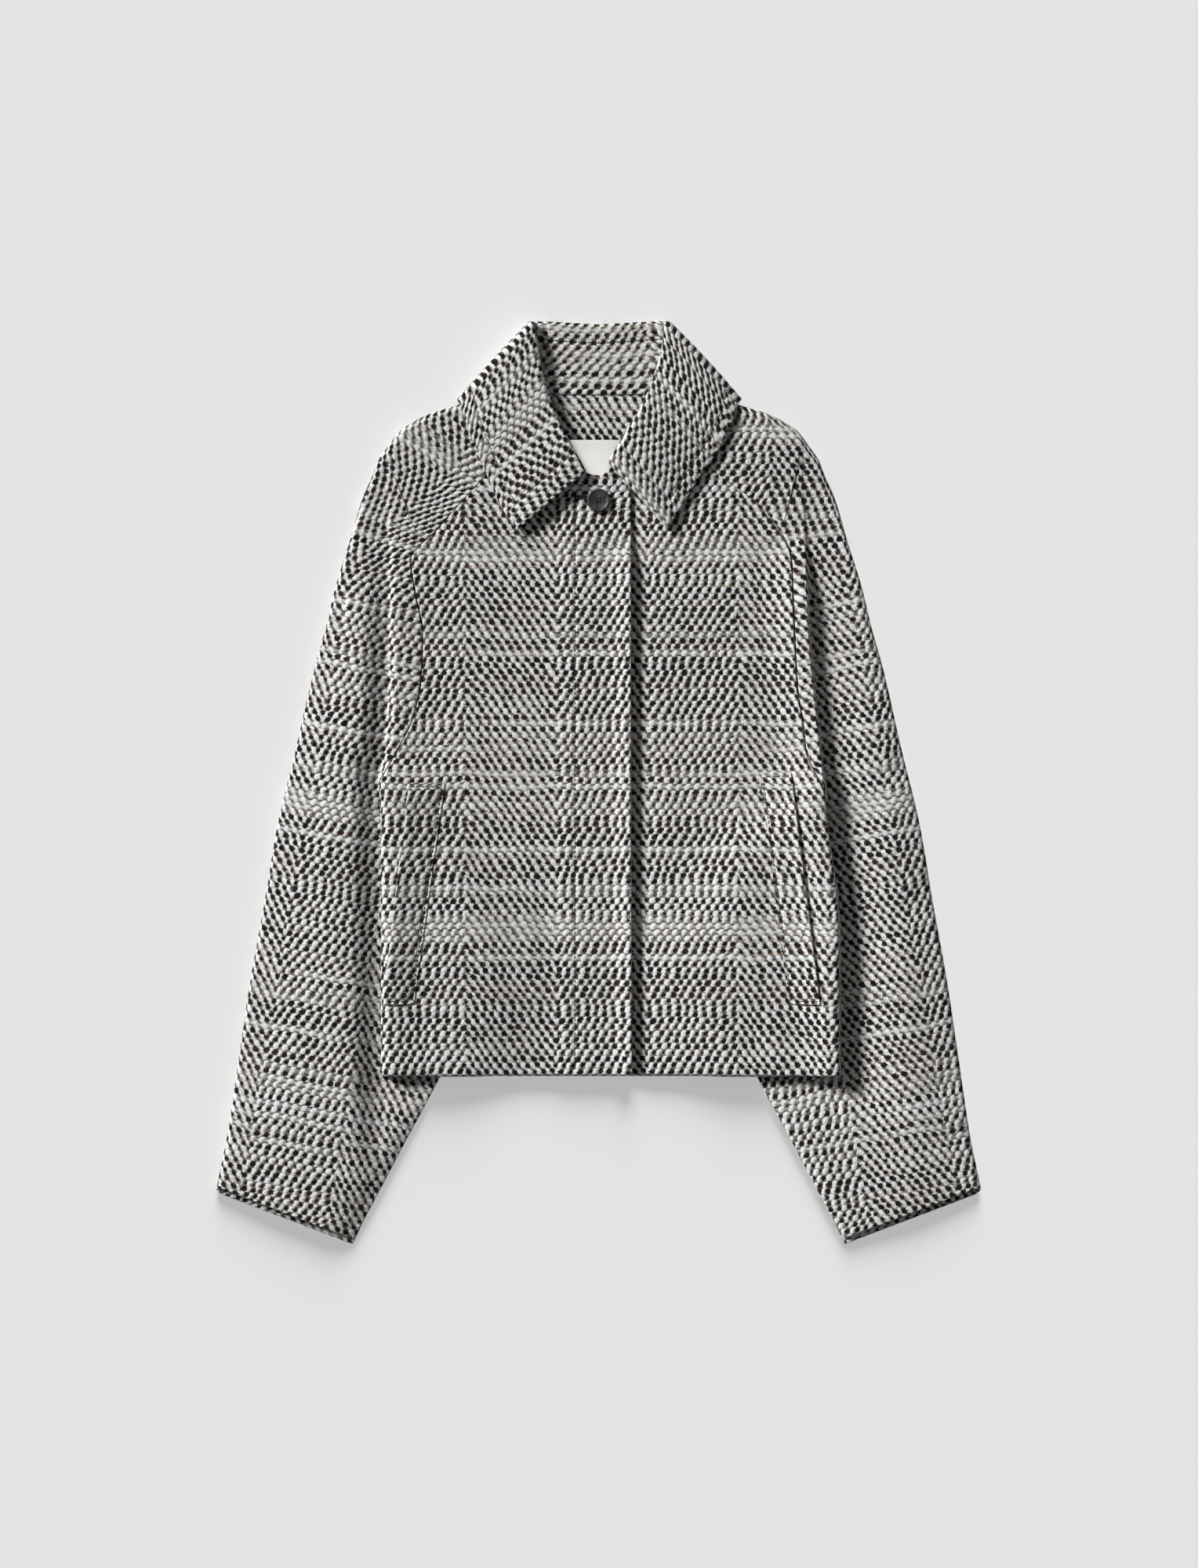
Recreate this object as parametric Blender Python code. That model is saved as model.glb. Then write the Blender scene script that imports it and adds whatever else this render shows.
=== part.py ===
"""A short wool coat of herringbone tweed, laid flat on its back with its front up.

Tables and sizes are in millimetres: x runs to the viewer's right, y runs from the hem to the collar and z
rises from the surface that the coat lies on. Each half of the coat counts "out" from the middle towards its
sleeve. Meshes are made in metres.
"""

import math
from collections import namedtuple

import bmesh
import bpy
import numpy as np

MM = 0.001

# Cloth
WALL = 3.0
SEAM_GAP = 0.3
LAYER_GAP = 0.4
STACK = 2 * WALL + LAYER_GAP

# Body
HEM_Y = -237.4
BACK_HEM_Y = -238.8
BACK_MIDDLE_OUT = 88.0
UNDERARM_Y = 1.0
FRONT_LOFT = 2.6
PLACKET_LOFT = 4.6
PLACKET_START, PLACKET_RAMP = -45.0, 25.0
UNDERLAP_LOFT = 1.0
UNDERLAP_CLEAR, UNDERLAP_RAMP = 3.0, 14.0
SIDE_ROUND = 14.0

# Hidden part of a sleeve, pressed flat under the body, and what it lifts
SLEEVE_FLAT = STACK + 0.2
SLEEVE_LIFT = SLEEVE_FLAT + 0.5
LIFT_MARGIN, LIFT_RAMP = 45.0, 20.0
LIFT_TOP_Y, LIFT_DROP = 8.0, 22.0
COVER_MARGIN, COVER_RAMP = 75.0, 70.0
COVER_TOP_Y, COVER_DROP = 26.0, 36.0

# Fall of the collar, on the surface under the back neck, and what it lifts
FALL_LIFT = WALL + LAYER_GAP
FALL_EDGE_Y, FALL_EDGE_RISE, FALL_EDGE_OUT = 300.0, 13.0, 116.0
FALL_START, FALL_RAMP = 34.0, 28.0
NECK_COVER_Y, NECK_COVER_RAMP = 235.0, 50.0

# Sleeve section
SLEEVE_FOLD = 6.0
VALLEY_START, VALLEY_OUT, VALLEY_WIDTH = -6.0, 8.0, 35.0
DIVE = 19.0
UNDERARM_SEAM_TOP = STACK - 0.1
UNDERARM_ROUND = 14.0
CUFF_STEP = 5.5
CUFF_STEP_WAY = (0.17, -0.985)

# Collar section
COLLAR_FOLD_DEPTH = 4.5
COLLAR_FOLD_HALF = WALL + 0.7
SHOULDER_ROLL = 4.0
LEAF_POINT_GAP = 2.0
LEAF_BOW = 1.8
STAND_RAISE = 0.5
STAND_LAP = np.linspace(0, 10, 5)
PLACKET_REACH, PLACKET_FADE = 60.0, 25.0

# Trim
WELT_THICKNESS = 2.0
WELT_BOTTOM_Y = -180.0
LABEL_THICKNESS = 1.0
LABEL_LEFT_X, LABEL_RIGHT_X = -33.0, 27.0
LABEL_BOTTOM_Y, LABEL_TOP_Y = 240.0, 280.0
BUTTON_X, BUTTON_Y = 0.0, 229.8
BUTTON_RADIUS, BUTTON_HEIGHT = 9.5, 3.6
BUTTON_EDGE, BUTTON_RIM, BUTTON_DISH = 0.6, 2.2, 0.8
BUTTON_HOLE_RADIUS, BUTTON_HOLE_OFFSET = 0.9, 1.7
BUTTON_SIDES, HOLE_SIDES = 28, 8
CUTTER_REACH = 1.0

# Numbers of faces across each piece
SIDE_FACES, WELT_FACES, CENTRE_FACES = 2, 3, 7
BACK_SIDE_FACES, BACK_MIDDLE_FACES, LABEL_FACES = 6, 2, 3
SLEEVE_TOP_FACES, SLEEVE_FOLD_FACES, SLEEVE_BACK_FACES = 9, 4, 4
STAND_FACES, COLLAR_FOLD_FACES, FALL_FACES = 3, 4, 6

TWEED_COLOUR = (0.42, 0.41, 0.39, 1.0)
LABEL_COLOUR = (0.82, 0.81, 0.79, 1.0)
BUTTON_COLOUR = (0.035, 0.035, 0.036, 1.0)
TWEED_ROUGHNESS, LABEL_ROUGHNESS, BUTTON_ROUGHNESS = 0.95, 0.4, 0.45
SHARP_ANGLE = math.radians(40)
ROW_MARGIN = 0.5


def table(names, *rows):
    """Rows of numbers as named columns, in the order of the first column."""
    return dict(zip(names.split(), np.array(sorted(rows), float).T))


# Front edge of each sleeve: the raglan seam down to the underarm, then the edge hidden behind the body,
# then the free edge from the hem to the cuff
SEAM_LEFT = table(
    "y out",
    (296, 52), (279, 66), (242, 99.5), (205, 133), (182, 152.6), (155, 149), (122, 143), (89, 144),
    (56, 150), (26, 164), (10, 173), (1, 177.6), (-8, 178.8), (-16, 178.6), (-24, 174), (-36, 163),
    (-50, 150), (-95, 118), (-150, 103), (-200, 110), (-239, 129), (-297, 160), (-348, 187), (-371, 200),
)
SEAM_RIGHT = table(
    "y out",
    (296, 50), (279, 68), (255, 92.5), (219.5, 138), (183, 156.5), (147, 158), (77, 161.6), (49, 166),
    (26, 168.6), (10, 175), (1, 179.8), (-8, 185.6), (-16, 187), (-24, 182), (-36, 168),
    (-50, 153), (-95, 119), (-150, 103), (-200, 110), (-239, 129), (-297, 160), (-348, 187), (-371, 200),
)
# Side edge of the body below the underarm
SIDE_LEFT = table("y out", (-240, 177), (-120, 177), (1, 177.3))
SIDE_RIGHT = table(
    "y out", (-240, 197), (-137, 197), (-92, 195), (-60, 189.6), (-29, 185.6), (-10, 183.4), (1, 179.5)
)
# Line of the fold that runs down the armhole and on along the side of the body
FOLD_LEFT = table("y out", (-240, 177), (0, 177.3), (30, 173), (100, 170), (180, 170), (250, 172), (335, 172))
FOLD_RIGHT = table(
    "y out",
    (-240, 197), (-137, 197), (-92, 195), (-60, 191), (-22, 187), (38, 181), (120, 173), (191, 170),
    (250, 166), (335, 166),
)
# Placket edge and neck edge of the upper front, centre edge and neck edge of the lower front
CENTRE_LEFT = table(
    "y x",
    (-240, 27.5), (0, 26.6), (226, 26.6), (238, 25.5), (244, 21), (248.5, 12), (250, 2), (251.5, -7),
    (256, -15), (270, -31), (285, -43), (296, -49),
)
CENTRE_RIGHT = table(
    "y x", (-240, -18), (236, -18), (243, -10), (250, 2), (256, 9), (268, 22), (281, 34), (296, 45)
)
# Outer and inner edges of the pocket welts
WELT_LEFT = table("y outer inner", (WELT_BOTTOM_Y, 175.4, 149), (UNDERARM_Y, 154.2, 123.9))
WELT_RIGHT = table("y outer inner", (WELT_BOTTOM_Y, 179.8, 153.5), (10, 156.4, 129.7))
# Half of the collar: lower edge of the stand, tip of the fold, outer edge, and the angle that the fall has
# turned through, from lying on the front to lying under the back
COLLAR_LEFT = table(
    "row stand_out stand_y tip_out tip_y edge_out edge_y turn",
    (0, 17.7, 244.9, 9.3, 252, 66.2, 204.2, 0), (1, 36.5, 269.3, 24.6, 280, 81.5, 228.5, 0),
    (2, 46.5, 281.2, 32, 295, 87.3, 242.3, 0), (3, 61, 313, 44.5, 330, 100.3, 273, 0),
    (4, 66, 324, 49.6, 359, 109, 297, 0), (5, 68, 331, 52, 371, 111.4, 306.5, 0),
    (6, 69, 336, 52.5, 375, 111.6, 308.1, 90), (7, 66, 331, 50, 376.4, 109.5, 309.5, 180),
    (8, 57, 320, 45, 376.4, 98, 309, 180), (9, 30, 317, 24, 375.5, 55, 303, 180),
    (10, 0, 316.8, 0, 374, 0, 300, 180),
)
COLLAR_RIGHT = table(
    "row stand_out stand_y tip_out tip_y edge_out edge_y turn",
    (0, 14, 251.7, 6.7, 260, 55, 205, 0), (1, 32, 273, 21.4, 285, 70.3, 229.7, 0),
    (2, 48.2, 292, 35, 307, 84, 251.6, 0), (3, 60, 311, 43, 326, 96, 268.5, 0),
    (4, 66, 324, 51.5, 356, 109.5, 296.5, 0), (5, 68, 331, 53, 371, 112.4, 307, 0),
    (6, 69, 336, 54, 375, 112.6, 309, 90), (7, 66, 331, 51, 376.4, 110, 310, 180),
    (8, 57, 320, 46, 376.4, 98, 309, 180), (9, 30, 317, 25, 375.5, 55, 303, 180),
    (10, 0, 316.8, 0, 374, 0, 300, 180),
)
# Raglan seam on the back, the same on both sides
BACK_SEAM = table(
    "y out",
    (323, 45), (298, 58), (260, 80), (220, 101), (185, 117), (155, 129), (122, 141), (90, 151), (58, 161),
    (28, 170), (1, 177.3),
)
# Outer edge of a sleeve, from the neck over the shoulder to the cuff
OUTLINE = table(
    "y out",
    (333, 72), (322, 90), (309, 112), (300, 139.5), (287, 161.6), (275, 171), (262, 180), (249, 185),
    (236, 191), (223, 195.5), (198, 202.6), (159, 214.7), (127, 222.4), (95, 231.4), (31, 246), (-33, 261.4),
    (-97, 272.3), (-161, 283.8), (-225, 293.4), (-289, 303), (-329, 311.4),
)
# Where a section of the sleeve meets its front edge, its back edge and its outer edge
STATIONS = table(
    "station front_y back_y fold_y",
    (0, 296, 323, 333), (1, 279, 301, 325), (2, 260, 280, 316), (3, 242, 260, 305), (4, 222, 240, 293),
    (5, 205, 218, 280), (6, 182, 190, 261), (7, 155, 160, 236), (8, 122, 124, 205), (9, 89, 90, 172),
    (10, 56, 57, 133), (11, 26, 27, 97), (12, 10, 10, 74), (13, 1, 1, 58), (14, -22, -22, 28),
    (15, -50, -50, -4), (16, -95, -95, -42), (17, -150, -150, -90), (18, -200, -200, -135),
    (19, -239, -239, -180), (20, -297, -297, -245), (21, -348, -348, -303), (22, -371, -371, -329),
)
UNDERARM_STATION, CUFF_STATION = 13, 22
BODY_STATIONS = np.concatenate([np.arange(3), np.arange(3, UNDERARM_STATION + 0.1, 0.5)])
SLEEVE_STATIONS = np.concatenate(
    [BODY_STATIONS, (13.33, 13.67, 14, 14.5, 15, 16, 17, 18, 19, 19.33, 19.67, 20, 21, CUFF_STATION)]
)
ROWS_BELOW_UNDERARM = (-7, -14, -22, -36, -50, -90, -135, WELT_BOTTOM_Y, -210)
NECK_ROWS = (236, 245, 248.5, 250.2, 252, 256)
COLLAR_ROWS = np.concatenate([np.linspace(0, 5, 13), np.linspace(5.25, 7, 8), np.linspace(7.6, 10, 5)])
# Heights of the upper layer of a sleeve: along its middle, in the fold at the armhole, and under the body
SLEEVE_HEIGHTS = table(
    "y crown valley hidden",
    (-371, 8.8, 8.8, 8.8), (-300, 9.4, 9.4, 9.4), (-272, 9.7, 9.0, 8.6), (-248, 9.8, 7.2, SLEEVE_FLAT),
    (-200, 9.8, 7.0, SLEEVE_FLAT), (40, 9.8, 6.9, SLEEVE_FLAT), (180, 9.8, 7.0, SLEEVE_FLAT),
    (250, 9.4, 8.0, SLEEVE_FLAT), (290, 8.0, 8.0, SLEEVE_FLAT), (335, 8.0, 8.0, SLEEVE_FLAT),
)
# Soft troughs and ridges in the upper layer: two ends, half width, height
CREASES = table(
    "x0 y0 x1 y1 half height",
    (-262, 30, -205, -22, 16, -0.9), (-286, -110, -206, -150, 18, -0.8), (-222, 60, -262, -60, 20, 0.6),
    (262, 40, 212, -30, 16, -0.9), (280, -80, 216, -128, 18, -0.9), (-120, 165, -65, 125, 20, -0.7),
    (130, 150, 70, 60, 26, -0.7), (-95, -60, -60, -200, 26, -0.6), (80, -80, 120, -220, 26, -0.6),
)

Half = namedtuple("Half", "name sign seam side fold centre welt collar")
LEFT = Half("left", -1, SEAM_LEFT, SIDE_LEFT, FOLD_LEFT, CENTRE_LEFT, WELT_LEFT, COLLAR_LEFT)
RIGHT = Half("right", 1, SEAM_RIGHT, SIDE_RIGHT, FOLD_RIGHT, CENTRE_RIGHT, WELT_RIGHT, COLLAR_RIGHT)


def read(rows, column, at):
    """A column of a table at any value of its first column, on cubics that never overshoot."""
    knots, values = next(iter(rows.values())), rows[column]
    at = np.clip(at, knots[0], knots[-1])
    widths = np.diff(knots)
    slopes = np.diff(values) / widths
    before, after = slopes[:-1], slopes[1:]
    same_way = before * after > 0
    total = np.where(same_way, before + after, 1.0)
    inner = np.where(same_way, 2 * before * after / total, 0.0)
    tangents = np.concatenate([slopes[:1], inner, slopes[-1:]])
    low = np.clip(np.searchsorted(knots, at, side="right") - 1, 0, len(widths) - 1)
    part = (at - knots[low]) / widths[low]
    rise = values[low + 1] - values[low]
    first, last = widths[low] * tangents[low], widths[low] * tangents[low + 1]
    square, cube = 3 * rise - 2 * first - last, first + last - 2 * rise
    return values[low] + part * (first + part * (square + part * cube))


def soft_step(amount):
    """0 up to 0, 1 from 1 on, and a smooth rise between."""
    amount = np.clip(amount, 0.0, 1.0)
    return amount * amount * (3 - 2 * amount)


def quarter_round(distance, size):
    """A rise from 0 at an edge to 1 at the given distance from it."""
    return np.sin(0.5 * math.pi * np.clip(distance / size, 0.0, 1.0))


def points(x, y, z):
    """Three coordinates as points."""
    return np.stack(np.broadcast_arrays(x, y, z), axis=-1).astype(float)


# Heights

def fall_lift(out, y):
    """How far the fall of the collar lifts what lies on it."""
    edge = FALL_EDGE_Y + FALL_EDGE_RISE * (out / FALL_EDGE_OUT) ** 2
    return FALL_LIFT * soft_step((y - edge + FALL_START) / FALL_RAMP)


def neck_cover(y):
    """The same lift as it shows in the upper layers, spread over more cloth."""
    return FALL_LIFT * soft_step((y - NECK_COVER_Y) / NECK_COVER_RAMP)


def sleeve_lift(half, out, y):
    """How far the hidden part of a sleeve lifts the back."""
    across = soft_step((out - read(half.seam, "out", y) + LIFT_MARGIN) / LIFT_RAMP)
    return SLEEVE_LIFT * across * soft_step((LIFT_TOP_Y - y) / LIFT_DROP)


def sleeve_cover(half, out, y):
    """The same lift as it shows in the front."""
    across = soft_step((out - read(half.seam, "out", y) + COVER_MARGIN) / COVER_RAMP)
    return SLEEVE_LIFT * across * soft_step((COVER_TOP_Y - y) / COVER_DROP)


def back_underside(x, y):
    """Lower face of the back: on the surface, or lifted by what lies under it."""
    lifts = (sleeve_lift(half, half.sign * x, y) for half in (LEFT, RIGHT))
    return sum(lifts) + fall_lift(x, y)


def crease_height(x, y):
    """Sum of the soft troughs and ridges."""
    total = 0.0
    for x0, y0, x1, y1, half_width, height in zip(*CREASES.values()):
        run_x, run_y = x1 - x0, y1 - y0
        part = np.clip(((x - x0) * run_x + (y - y0) * run_y) / (run_x**2 + run_y**2), 0.0, 1.0)
        away = np.hypot(x - x0 - part * run_x, y - y0 - part * run_y)
        total = total + height * soft_step(1 - away / half_width)
    return total


def front_loft(half, x, y):
    """Air under a front: most under the placket, least where the other front lies on it."""
    if half is LEFT:
        return FRONT_LOFT + (PLACKET_LOFT - FRONT_LOFT) * soft_step((x - PLACKET_START) / PLACKET_RAMP)
    past_placket = x - read(CENTRE_LEFT, "x", y) - UNDERLAP_CLEAR
    return UNDERLAP_LOFT + (FRONT_LOFT - UNDERLAP_LOFT) * soft_step(past_placket / UNDERLAP_RAMP)


def front_top(half, out, y):
    """Upper face of a front."""
    x = half.sign * out
    rounding = quarter_round(read(half.side, "out", y) - out, SIDE_ROUND)
    closing = soft_step((UNDERARM_Y - y) / DIVE)
    loft = (front_loft(half, x, y) + crease_height(x, y)) * (1 - closing * (1 - rounding))
    return STACK + sleeve_cover(half, out, y) + neck_cover(y) + loft


def sleeve_top(half, out, y):
    """Upper face of a sleeve: level with the front at the seam, down into the fold, up to its crown."""
    seam, fold = read(half.seam, "out", y), read(half.fold, "out", y)
    hidden = read(SLEEVE_HEIGHTS, "hidden", y)
    dive = soft_step((y - UNDERARM_Y + DIVE) / DIVE)
    inside = hidden + (front_top(half, seam, y) - hidden) * dive
    valley = read(SLEEVE_HEIGHTS, "valley", y) + neck_cover(y)
    crown = read(SLEEVE_HEIGHTS, "crown", y) + neck_cover(y)
    beyond = out - fold
    start = np.maximum(VALLEY_START, seam - fold)
    falling = soft_step((beyond - start) / (VALLEY_OUT - start))
    rising = soft_step((beyond - VALLEY_OUT) / VALLEY_WIDTH)
    creases = crease_height(half.sign * out, y) * rising
    return inside + (valley - inside) * falling + (crown - valley) * rising + creases


def coat_top(half, out, y):
    """Upper face of what the collar lies on: a sleeve outside the raglan seam, the fronts inside it."""
    body = front_top(half, out, y)
    if half is RIGHT:
        share = soft_step((PLACKET_REACH - out) / PLACKET_FADE)
        body = body + share * np.maximum(front_top(LEFT, -out, y) - body, 0.0)
    outside = out > read(half.seam, "out", y)
    return np.where(outside, np.maximum(sleeve_top(half, out, y), STACK + neck_cover(y)), body)


# Grids of points

def front_edge(half, y):
    """Outer edge of a front: the raglan seam, then the side edge."""
    return np.where(y >= UNDERARM_Y, read(half.seam, "out", y), read(half.side, "out", y))


def back_edge(half, y):
    """Outer edge of the back: the raglan seam, then the side edge."""
    return np.where(y >= UNDERARM_Y, read(BACK_SEAM, "out", y), read(half.side, "out", y))


def spread(places, faces):
    """Columns between neighbouring places, with the given number of faces in each stretch."""
    stretches = [places[0][..., None]]
    for start, end, count in zip(places, places[1:], faces):
        parts = np.arange(1, count + 1) / count
        stretches.append(start[..., None] + (end - start)[..., None] * parts)
    return np.concatenate(stretches, axis=-1)


def front_grid(half):
    """Upper face of a front, a row for each height: hem to neck, side edge to centre edge."""
    heights = np.concatenate(
        [read(STATIONS, "front_y", BODY_STATIONS), NECK_ROWS, ROWS_BELOW_UNDERARM, (HEM_Y,)]
    )
    y = np.unique(heights)
    edge = front_edge(half, y) - SEAM_GAP / 2
    centre = half.sign * read(half.centre, "x", y)
    held_y = np.clip(y, half.welt["y"][0], half.welt["y"][-1])
    held_edge = front_edge(half, held_y) - SEAM_GAP / 2
    held_width = held_edge - half.sign * read(half.centre, "x", held_y)
    outer = (held_edge - read(half.welt, "outer", held_y)) / held_width
    inner = (held_edge - read(half.welt, "inner", held_y)) / held_width
    places = (edge, edge + (centre - edge) * outer, edge + (centre - edge) * inner, centre)
    out = spread(places, (SIDE_FACES, WELT_FACES, CENTRE_FACES))
    return points(half.sign * out, y[:, None], front_top(half, out, y[:, None]))


def back_grid():
    """Lower face of the back: hem to neck, left edge to right edge."""
    heights = np.concatenate([read(STATIONS, "back_y", BODY_STATIONS), ROWS_BELOW_UNDERARM, (BACK_HEM_Y,)])
    y = np.unique(heights)
    left, right = (half.sign * (back_edge(half, y) - SEAM_GAP / 2) for half in (LEFT, RIGHT))
    label_left, label_right = np.full(len(y), LABEL_LEFT_X), np.full(len(y), LABEL_RIGHT_X)
    middle = np.minimum(BACK_MIDDLE_OUT, 0.5 * (right + LABEL_RIGHT_X))
    places = (left, -middle, label_left, label_right, middle, right)
    x = spread(places, (BACK_SIDE_FACES, BACK_MIDDLE_FACES, LABEL_FACES, BACK_MIDDLE_FACES, BACK_SIDE_FACES))
    return points(x, y[:, None], back_underside(x, y[:, None]))


def sleeve_grids(half):
    """Outer and inner face of a sleeve: neck to cuff, front edge over the outer fold to the back edge."""
    stations = SLEEVE_STATIONS
    front_y, back_y, fold_y = (read(STATIONS, name, stations) for name in ("front_y", "back_y", "fold_y"))
    back_out = np.where(back_y >= UNDERARM_Y, read(BACK_SEAM, "out", back_y), read(half.seam, "out", back_y))
    front = np.stack([read(half.seam, "out", front_y) + SEAM_GAP / 2, front_y], axis=-1)
    back = np.stack([back_out + SEAM_GAP / 2, back_y], axis=-1)
    fold = np.stack([read(OUTLINE, "out", fold_y), fold_y], axis=-1)
    way = (fold - front) / np.linalg.norm(fold - front, axis=-1, keepdims=True)
    axis = fold - SLEEVE_FOLD * way

    parts = np.linspace(0, 1, SLEEVE_TOP_FACES + 1)[:, None]
    over = front[:, None] + (axis - front)[:, None] * parts
    top = sleeve_top(half, over[..., 0], over[..., 1])
    closing = soft_step((UNDERARM_Y - DIVE - front_y) / DIVE)[:, None]
    rounding = quarter_round(np.linalg.norm(over - front[:, None], axis=-1), UNDERARM_ROUND)
    top = top + closing * (UNDERARM_SEAM_TOP - top) * (1 - rounding)

    parts = np.linspace(0, 1, SLEEVE_BACK_FACES + 1)[:, None]
    under = axis[:, None] + (back - axis)[:, None] * parts
    bottom = fall_lift(under[..., 0], under[..., 1])

    angles = np.linspace(0.5, -0.5, SLEEVE_FOLD_FACES + 1)[1:-1] * math.pi
    middle = 0.5 * (top[:, -1:] + bottom[:, :1])
    tall = 0.5 * (top[:, -1:] - bottom[:, :1])
    step = np.concatenate([np.zeros(over.shape[1]), 0.5 - 0.5 * np.sin(angles), np.ones(under.shape[1])])
    last = soft_step(stations - CUFF_STATION + 1)
    shift = CUFF_STEP * last[:, None, None] * step[:, None] * np.array(CUFF_STEP_WAY)
    faces = []
    for inset in (0.0, WALL):
        turn = axis[:, None] + (SLEEVE_FOLD - inset) * np.cos(angles)[:, None] * way[:, None]
        place = np.concatenate([over, turn, under], axis=1) + shift
        turn_height = middle + (tall - inset) * np.sin(angles)
        height = np.concatenate([top - inset, turn_height, bottom + inset], axis=1)
        faces.append(points(half.sign * place[..., 0], place[..., 1], height))
    return faces


def collar_half(half):
    """Convex and concave face of half the collar: front end to centre back, stand to outer edge."""
    column = {name: read(half.collar, name, COLLAR_ROWS) for name in half.collar}
    stand = np.stack([column["stand_out"], column["stand_y"]], axis=-1)
    tip = np.stack([column["tip_out"], column["tip_y"]], axis=-1)
    edge = np.stack([column["edge_out"], column["edge_y"]], axis=-1)
    turn = np.radians(column["turn"])
    way = (edge - tip) / np.linalg.norm(edge - tip, axis=-1, keepdims=True)
    square = np.stack([-way[:, 1], way[:, 0]], axis=-1)
    outward = points(np.sin(turn) * square[:, 0], np.sin(turn) * square[:, 1], np.cos(turn))
    axis = tip + COLLAR_FOLD_DEPTH * way
    edge = edge + SHOULDER_ROLL * np.sin(turn)[:, None] * square

    on_front = 0.5 + 0.5 * np.cos(turn)
    lap = stand - way * STAND_LAP[:, None, None]
    seat = coat_top(half, lap[..., 0], lap[..., 1]).max(axis=0) + SEAM_GAP
    back_seat = back_underside(half.sign * stand[:, 0], stand[:, 1]) + WALL + SEAM_GAP + STAND_RAISE
    point_gap = LAYER_GAP + LEAF_POINT_GAP * soft_step(1 - COLLAR_ROWS)
    leaf_seat = coat_top(half, *edge.T) + point_gap
    stand_z = 0.5 * WALL + back_seat + on_front * (seat - back_seat)
    axis_z = COLLAR_FOLD_HALF + on_front * seat
    edge_z = 0.5 * WALL + on_front * leaf_seat

    stand = points(stand[:, 0], stand[:, 1], stand_z)[:, None]
    axis = points(axis[:, 0], axis[:, 1], axis_z)[:, None]
    edge = points(edge[:, 0], edge[:, 1], edge_z)[:, None]
    tipward = points(-way[:, 0], -way[:, 1], 0.0)[:, None]
    outward = outward[:, None]
    stand_parts = np.linspace(0, 1, STAND_FACES + 1)[:-1, None]
    fall_parts = np.linspace(0, 1, FALL_FACES + 1)[1:, None]
    angles = np.linspace(-0.5, 0.5, COLLAR_FOLD_FACES + 1)[:, None] * math.pi
    bow = LEAF_BOW * on_front[:, None, None] * np.sin(math.pi * fall_parts)
    faces = []
    for inset in (0.0, WALL):
        tall, deep, level = COLLAR_FOLD_HALF - inset, COLLAR_FOLD_DEPTH - inset, 0.5 * WALL - inset
        start, low = stand - level * outward, axis - tall * outward
        high, end = axis + tall * outward, edge + level * outward
        face = np.concatenate(
            [
                start + (low - start) * stand_parts,
                axis + deep * np.cos(angles) * tipward + tall * np.sin(angles) * outward,
                high + (end - high) * fall_parts + bow * outward,
            ],
            axis=1,
        )
        faces.append(face * (half.sign, 1, 1))
    return faces


# Pieces

def material(name, colour, roughness):
    """A plain Principled material."""
    made = bpy.data.materials.new(name)
    made.use_nodes = True
    shader = made.node_tree.nodes["Principled BSDF"]
    shader.inputs["Base Color"].default_value = colour
    shader.inputs["Roughness"].default_value = roughness
    shader.inputs["Metallic"].default_value = 0.0
    return made


def add(name, mesh, colour, roughness):
    """A named object from a mesh in millimetres, with its faces pointing out."""
    if mesh.calc_volume(signed=True) < 0:
        bmesh.ops.reverse_faces(mesh, faces=mesh.faces)
    bmesh.ops.scale(mesh, vec=(MM, MM, MM), verts=mesh.verts)
    data = bpy.data.meshes.new(name)
    mesh.to_mesh(data)
    mesh.free()
    data.shade_smooth()
    data.set_sharp_from_angle(angle=SHARP_ANGLE)
    made = bpy.data.objects.new(name, data)
    data.materials.append(material(name, colour, roughness))
    bpy.context.scene.collection.objects.link(made)
    return made


def wall(name, upper, lower, colour=TWEED_COLOUR, roughness=TWEED_ROUGHNESS):
    """A closed wall between two grids of points."""
    rows, columns = upper.shape[:2]
    mesh = bmesh.new()
    over = [[mesh.verts.new(place) for place in row] for row in upper]
    under = [[mesh.verts.new(place) for place in row] for row in lower]
    for i in range(rows - 1):
        for j in range(columns - 1):
            mesh.faces.new((over[i][j], over[i][j + 1], over[i + 1][j + 1], over[i + 1][j]))
            mesh.faces.new((under[i][j], under[i + 1][j], under[i + 1][j + 1], under[i][j + 1]))
    rim = [(0, j) for j in range(columns)] + [(i, columns - 1) for i in range(1, rows)]
    rim += [(rows - 1, j) for j in range(columns - 2, -1, -1)] + [(i, 0) for i in range(rows - 2, 0, -1)]
    for (i, j), (k, m) in zip(rim, rim[1:] + rim[:1]):
        mesh.faces.new((over[i][j], under[i][j], under[k][m], over[k][m]))
    return add(name, mesh, colour, roughness)


def raised(grid, height):
    """The same points moved up."""
    return grid + (0.0, 0.0, height)


def front_and_welt(half):
    """A front, and the pocket welt made from its points, moved out."""
    grid = front_grid(half)
    wall(f"front_{half.name}", grid, raised(grid, -WALL))
    y = grid[:, 0, 1]
    rows = (y > half.welt["y"][0] - ROW_MARGIN) & (y < half.welt["y"][-1] + ROW_MARGIN)
    patch = grid[rows, SIDE_FACES : SIDE_FACES + WELT_FACES + 1]
    wall(f"welt_{half.name}", raised(patch, SEAM_GAP + WELT_THICKNESS), raised(patch, SEAM_GAP))


def back_and_label():
    """The back, and the label made from the points of its inner face, moved out."""
    grid = back_grid()
    wall("back", raised(grid, WALL), grid)
    y = grid[:, 0, 1]
    rows = (y > LABEL_BOTTOM_Y - ROW_MARGIN) & (y < LABEL_TOP_Y + ROW_MARGIN)
    first = BACK_SIDE_FACES + BACK_MIDDLE_FACES
    patch = raised(grid[rows, first : first + LABEL_FACES + 1], WALL + SEAM_GAP)
    wall("label", raised(patch, LABEL_THICKNESS), patch, LABEL_COLOUR, LABEL_ROUGHNESS)


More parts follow.
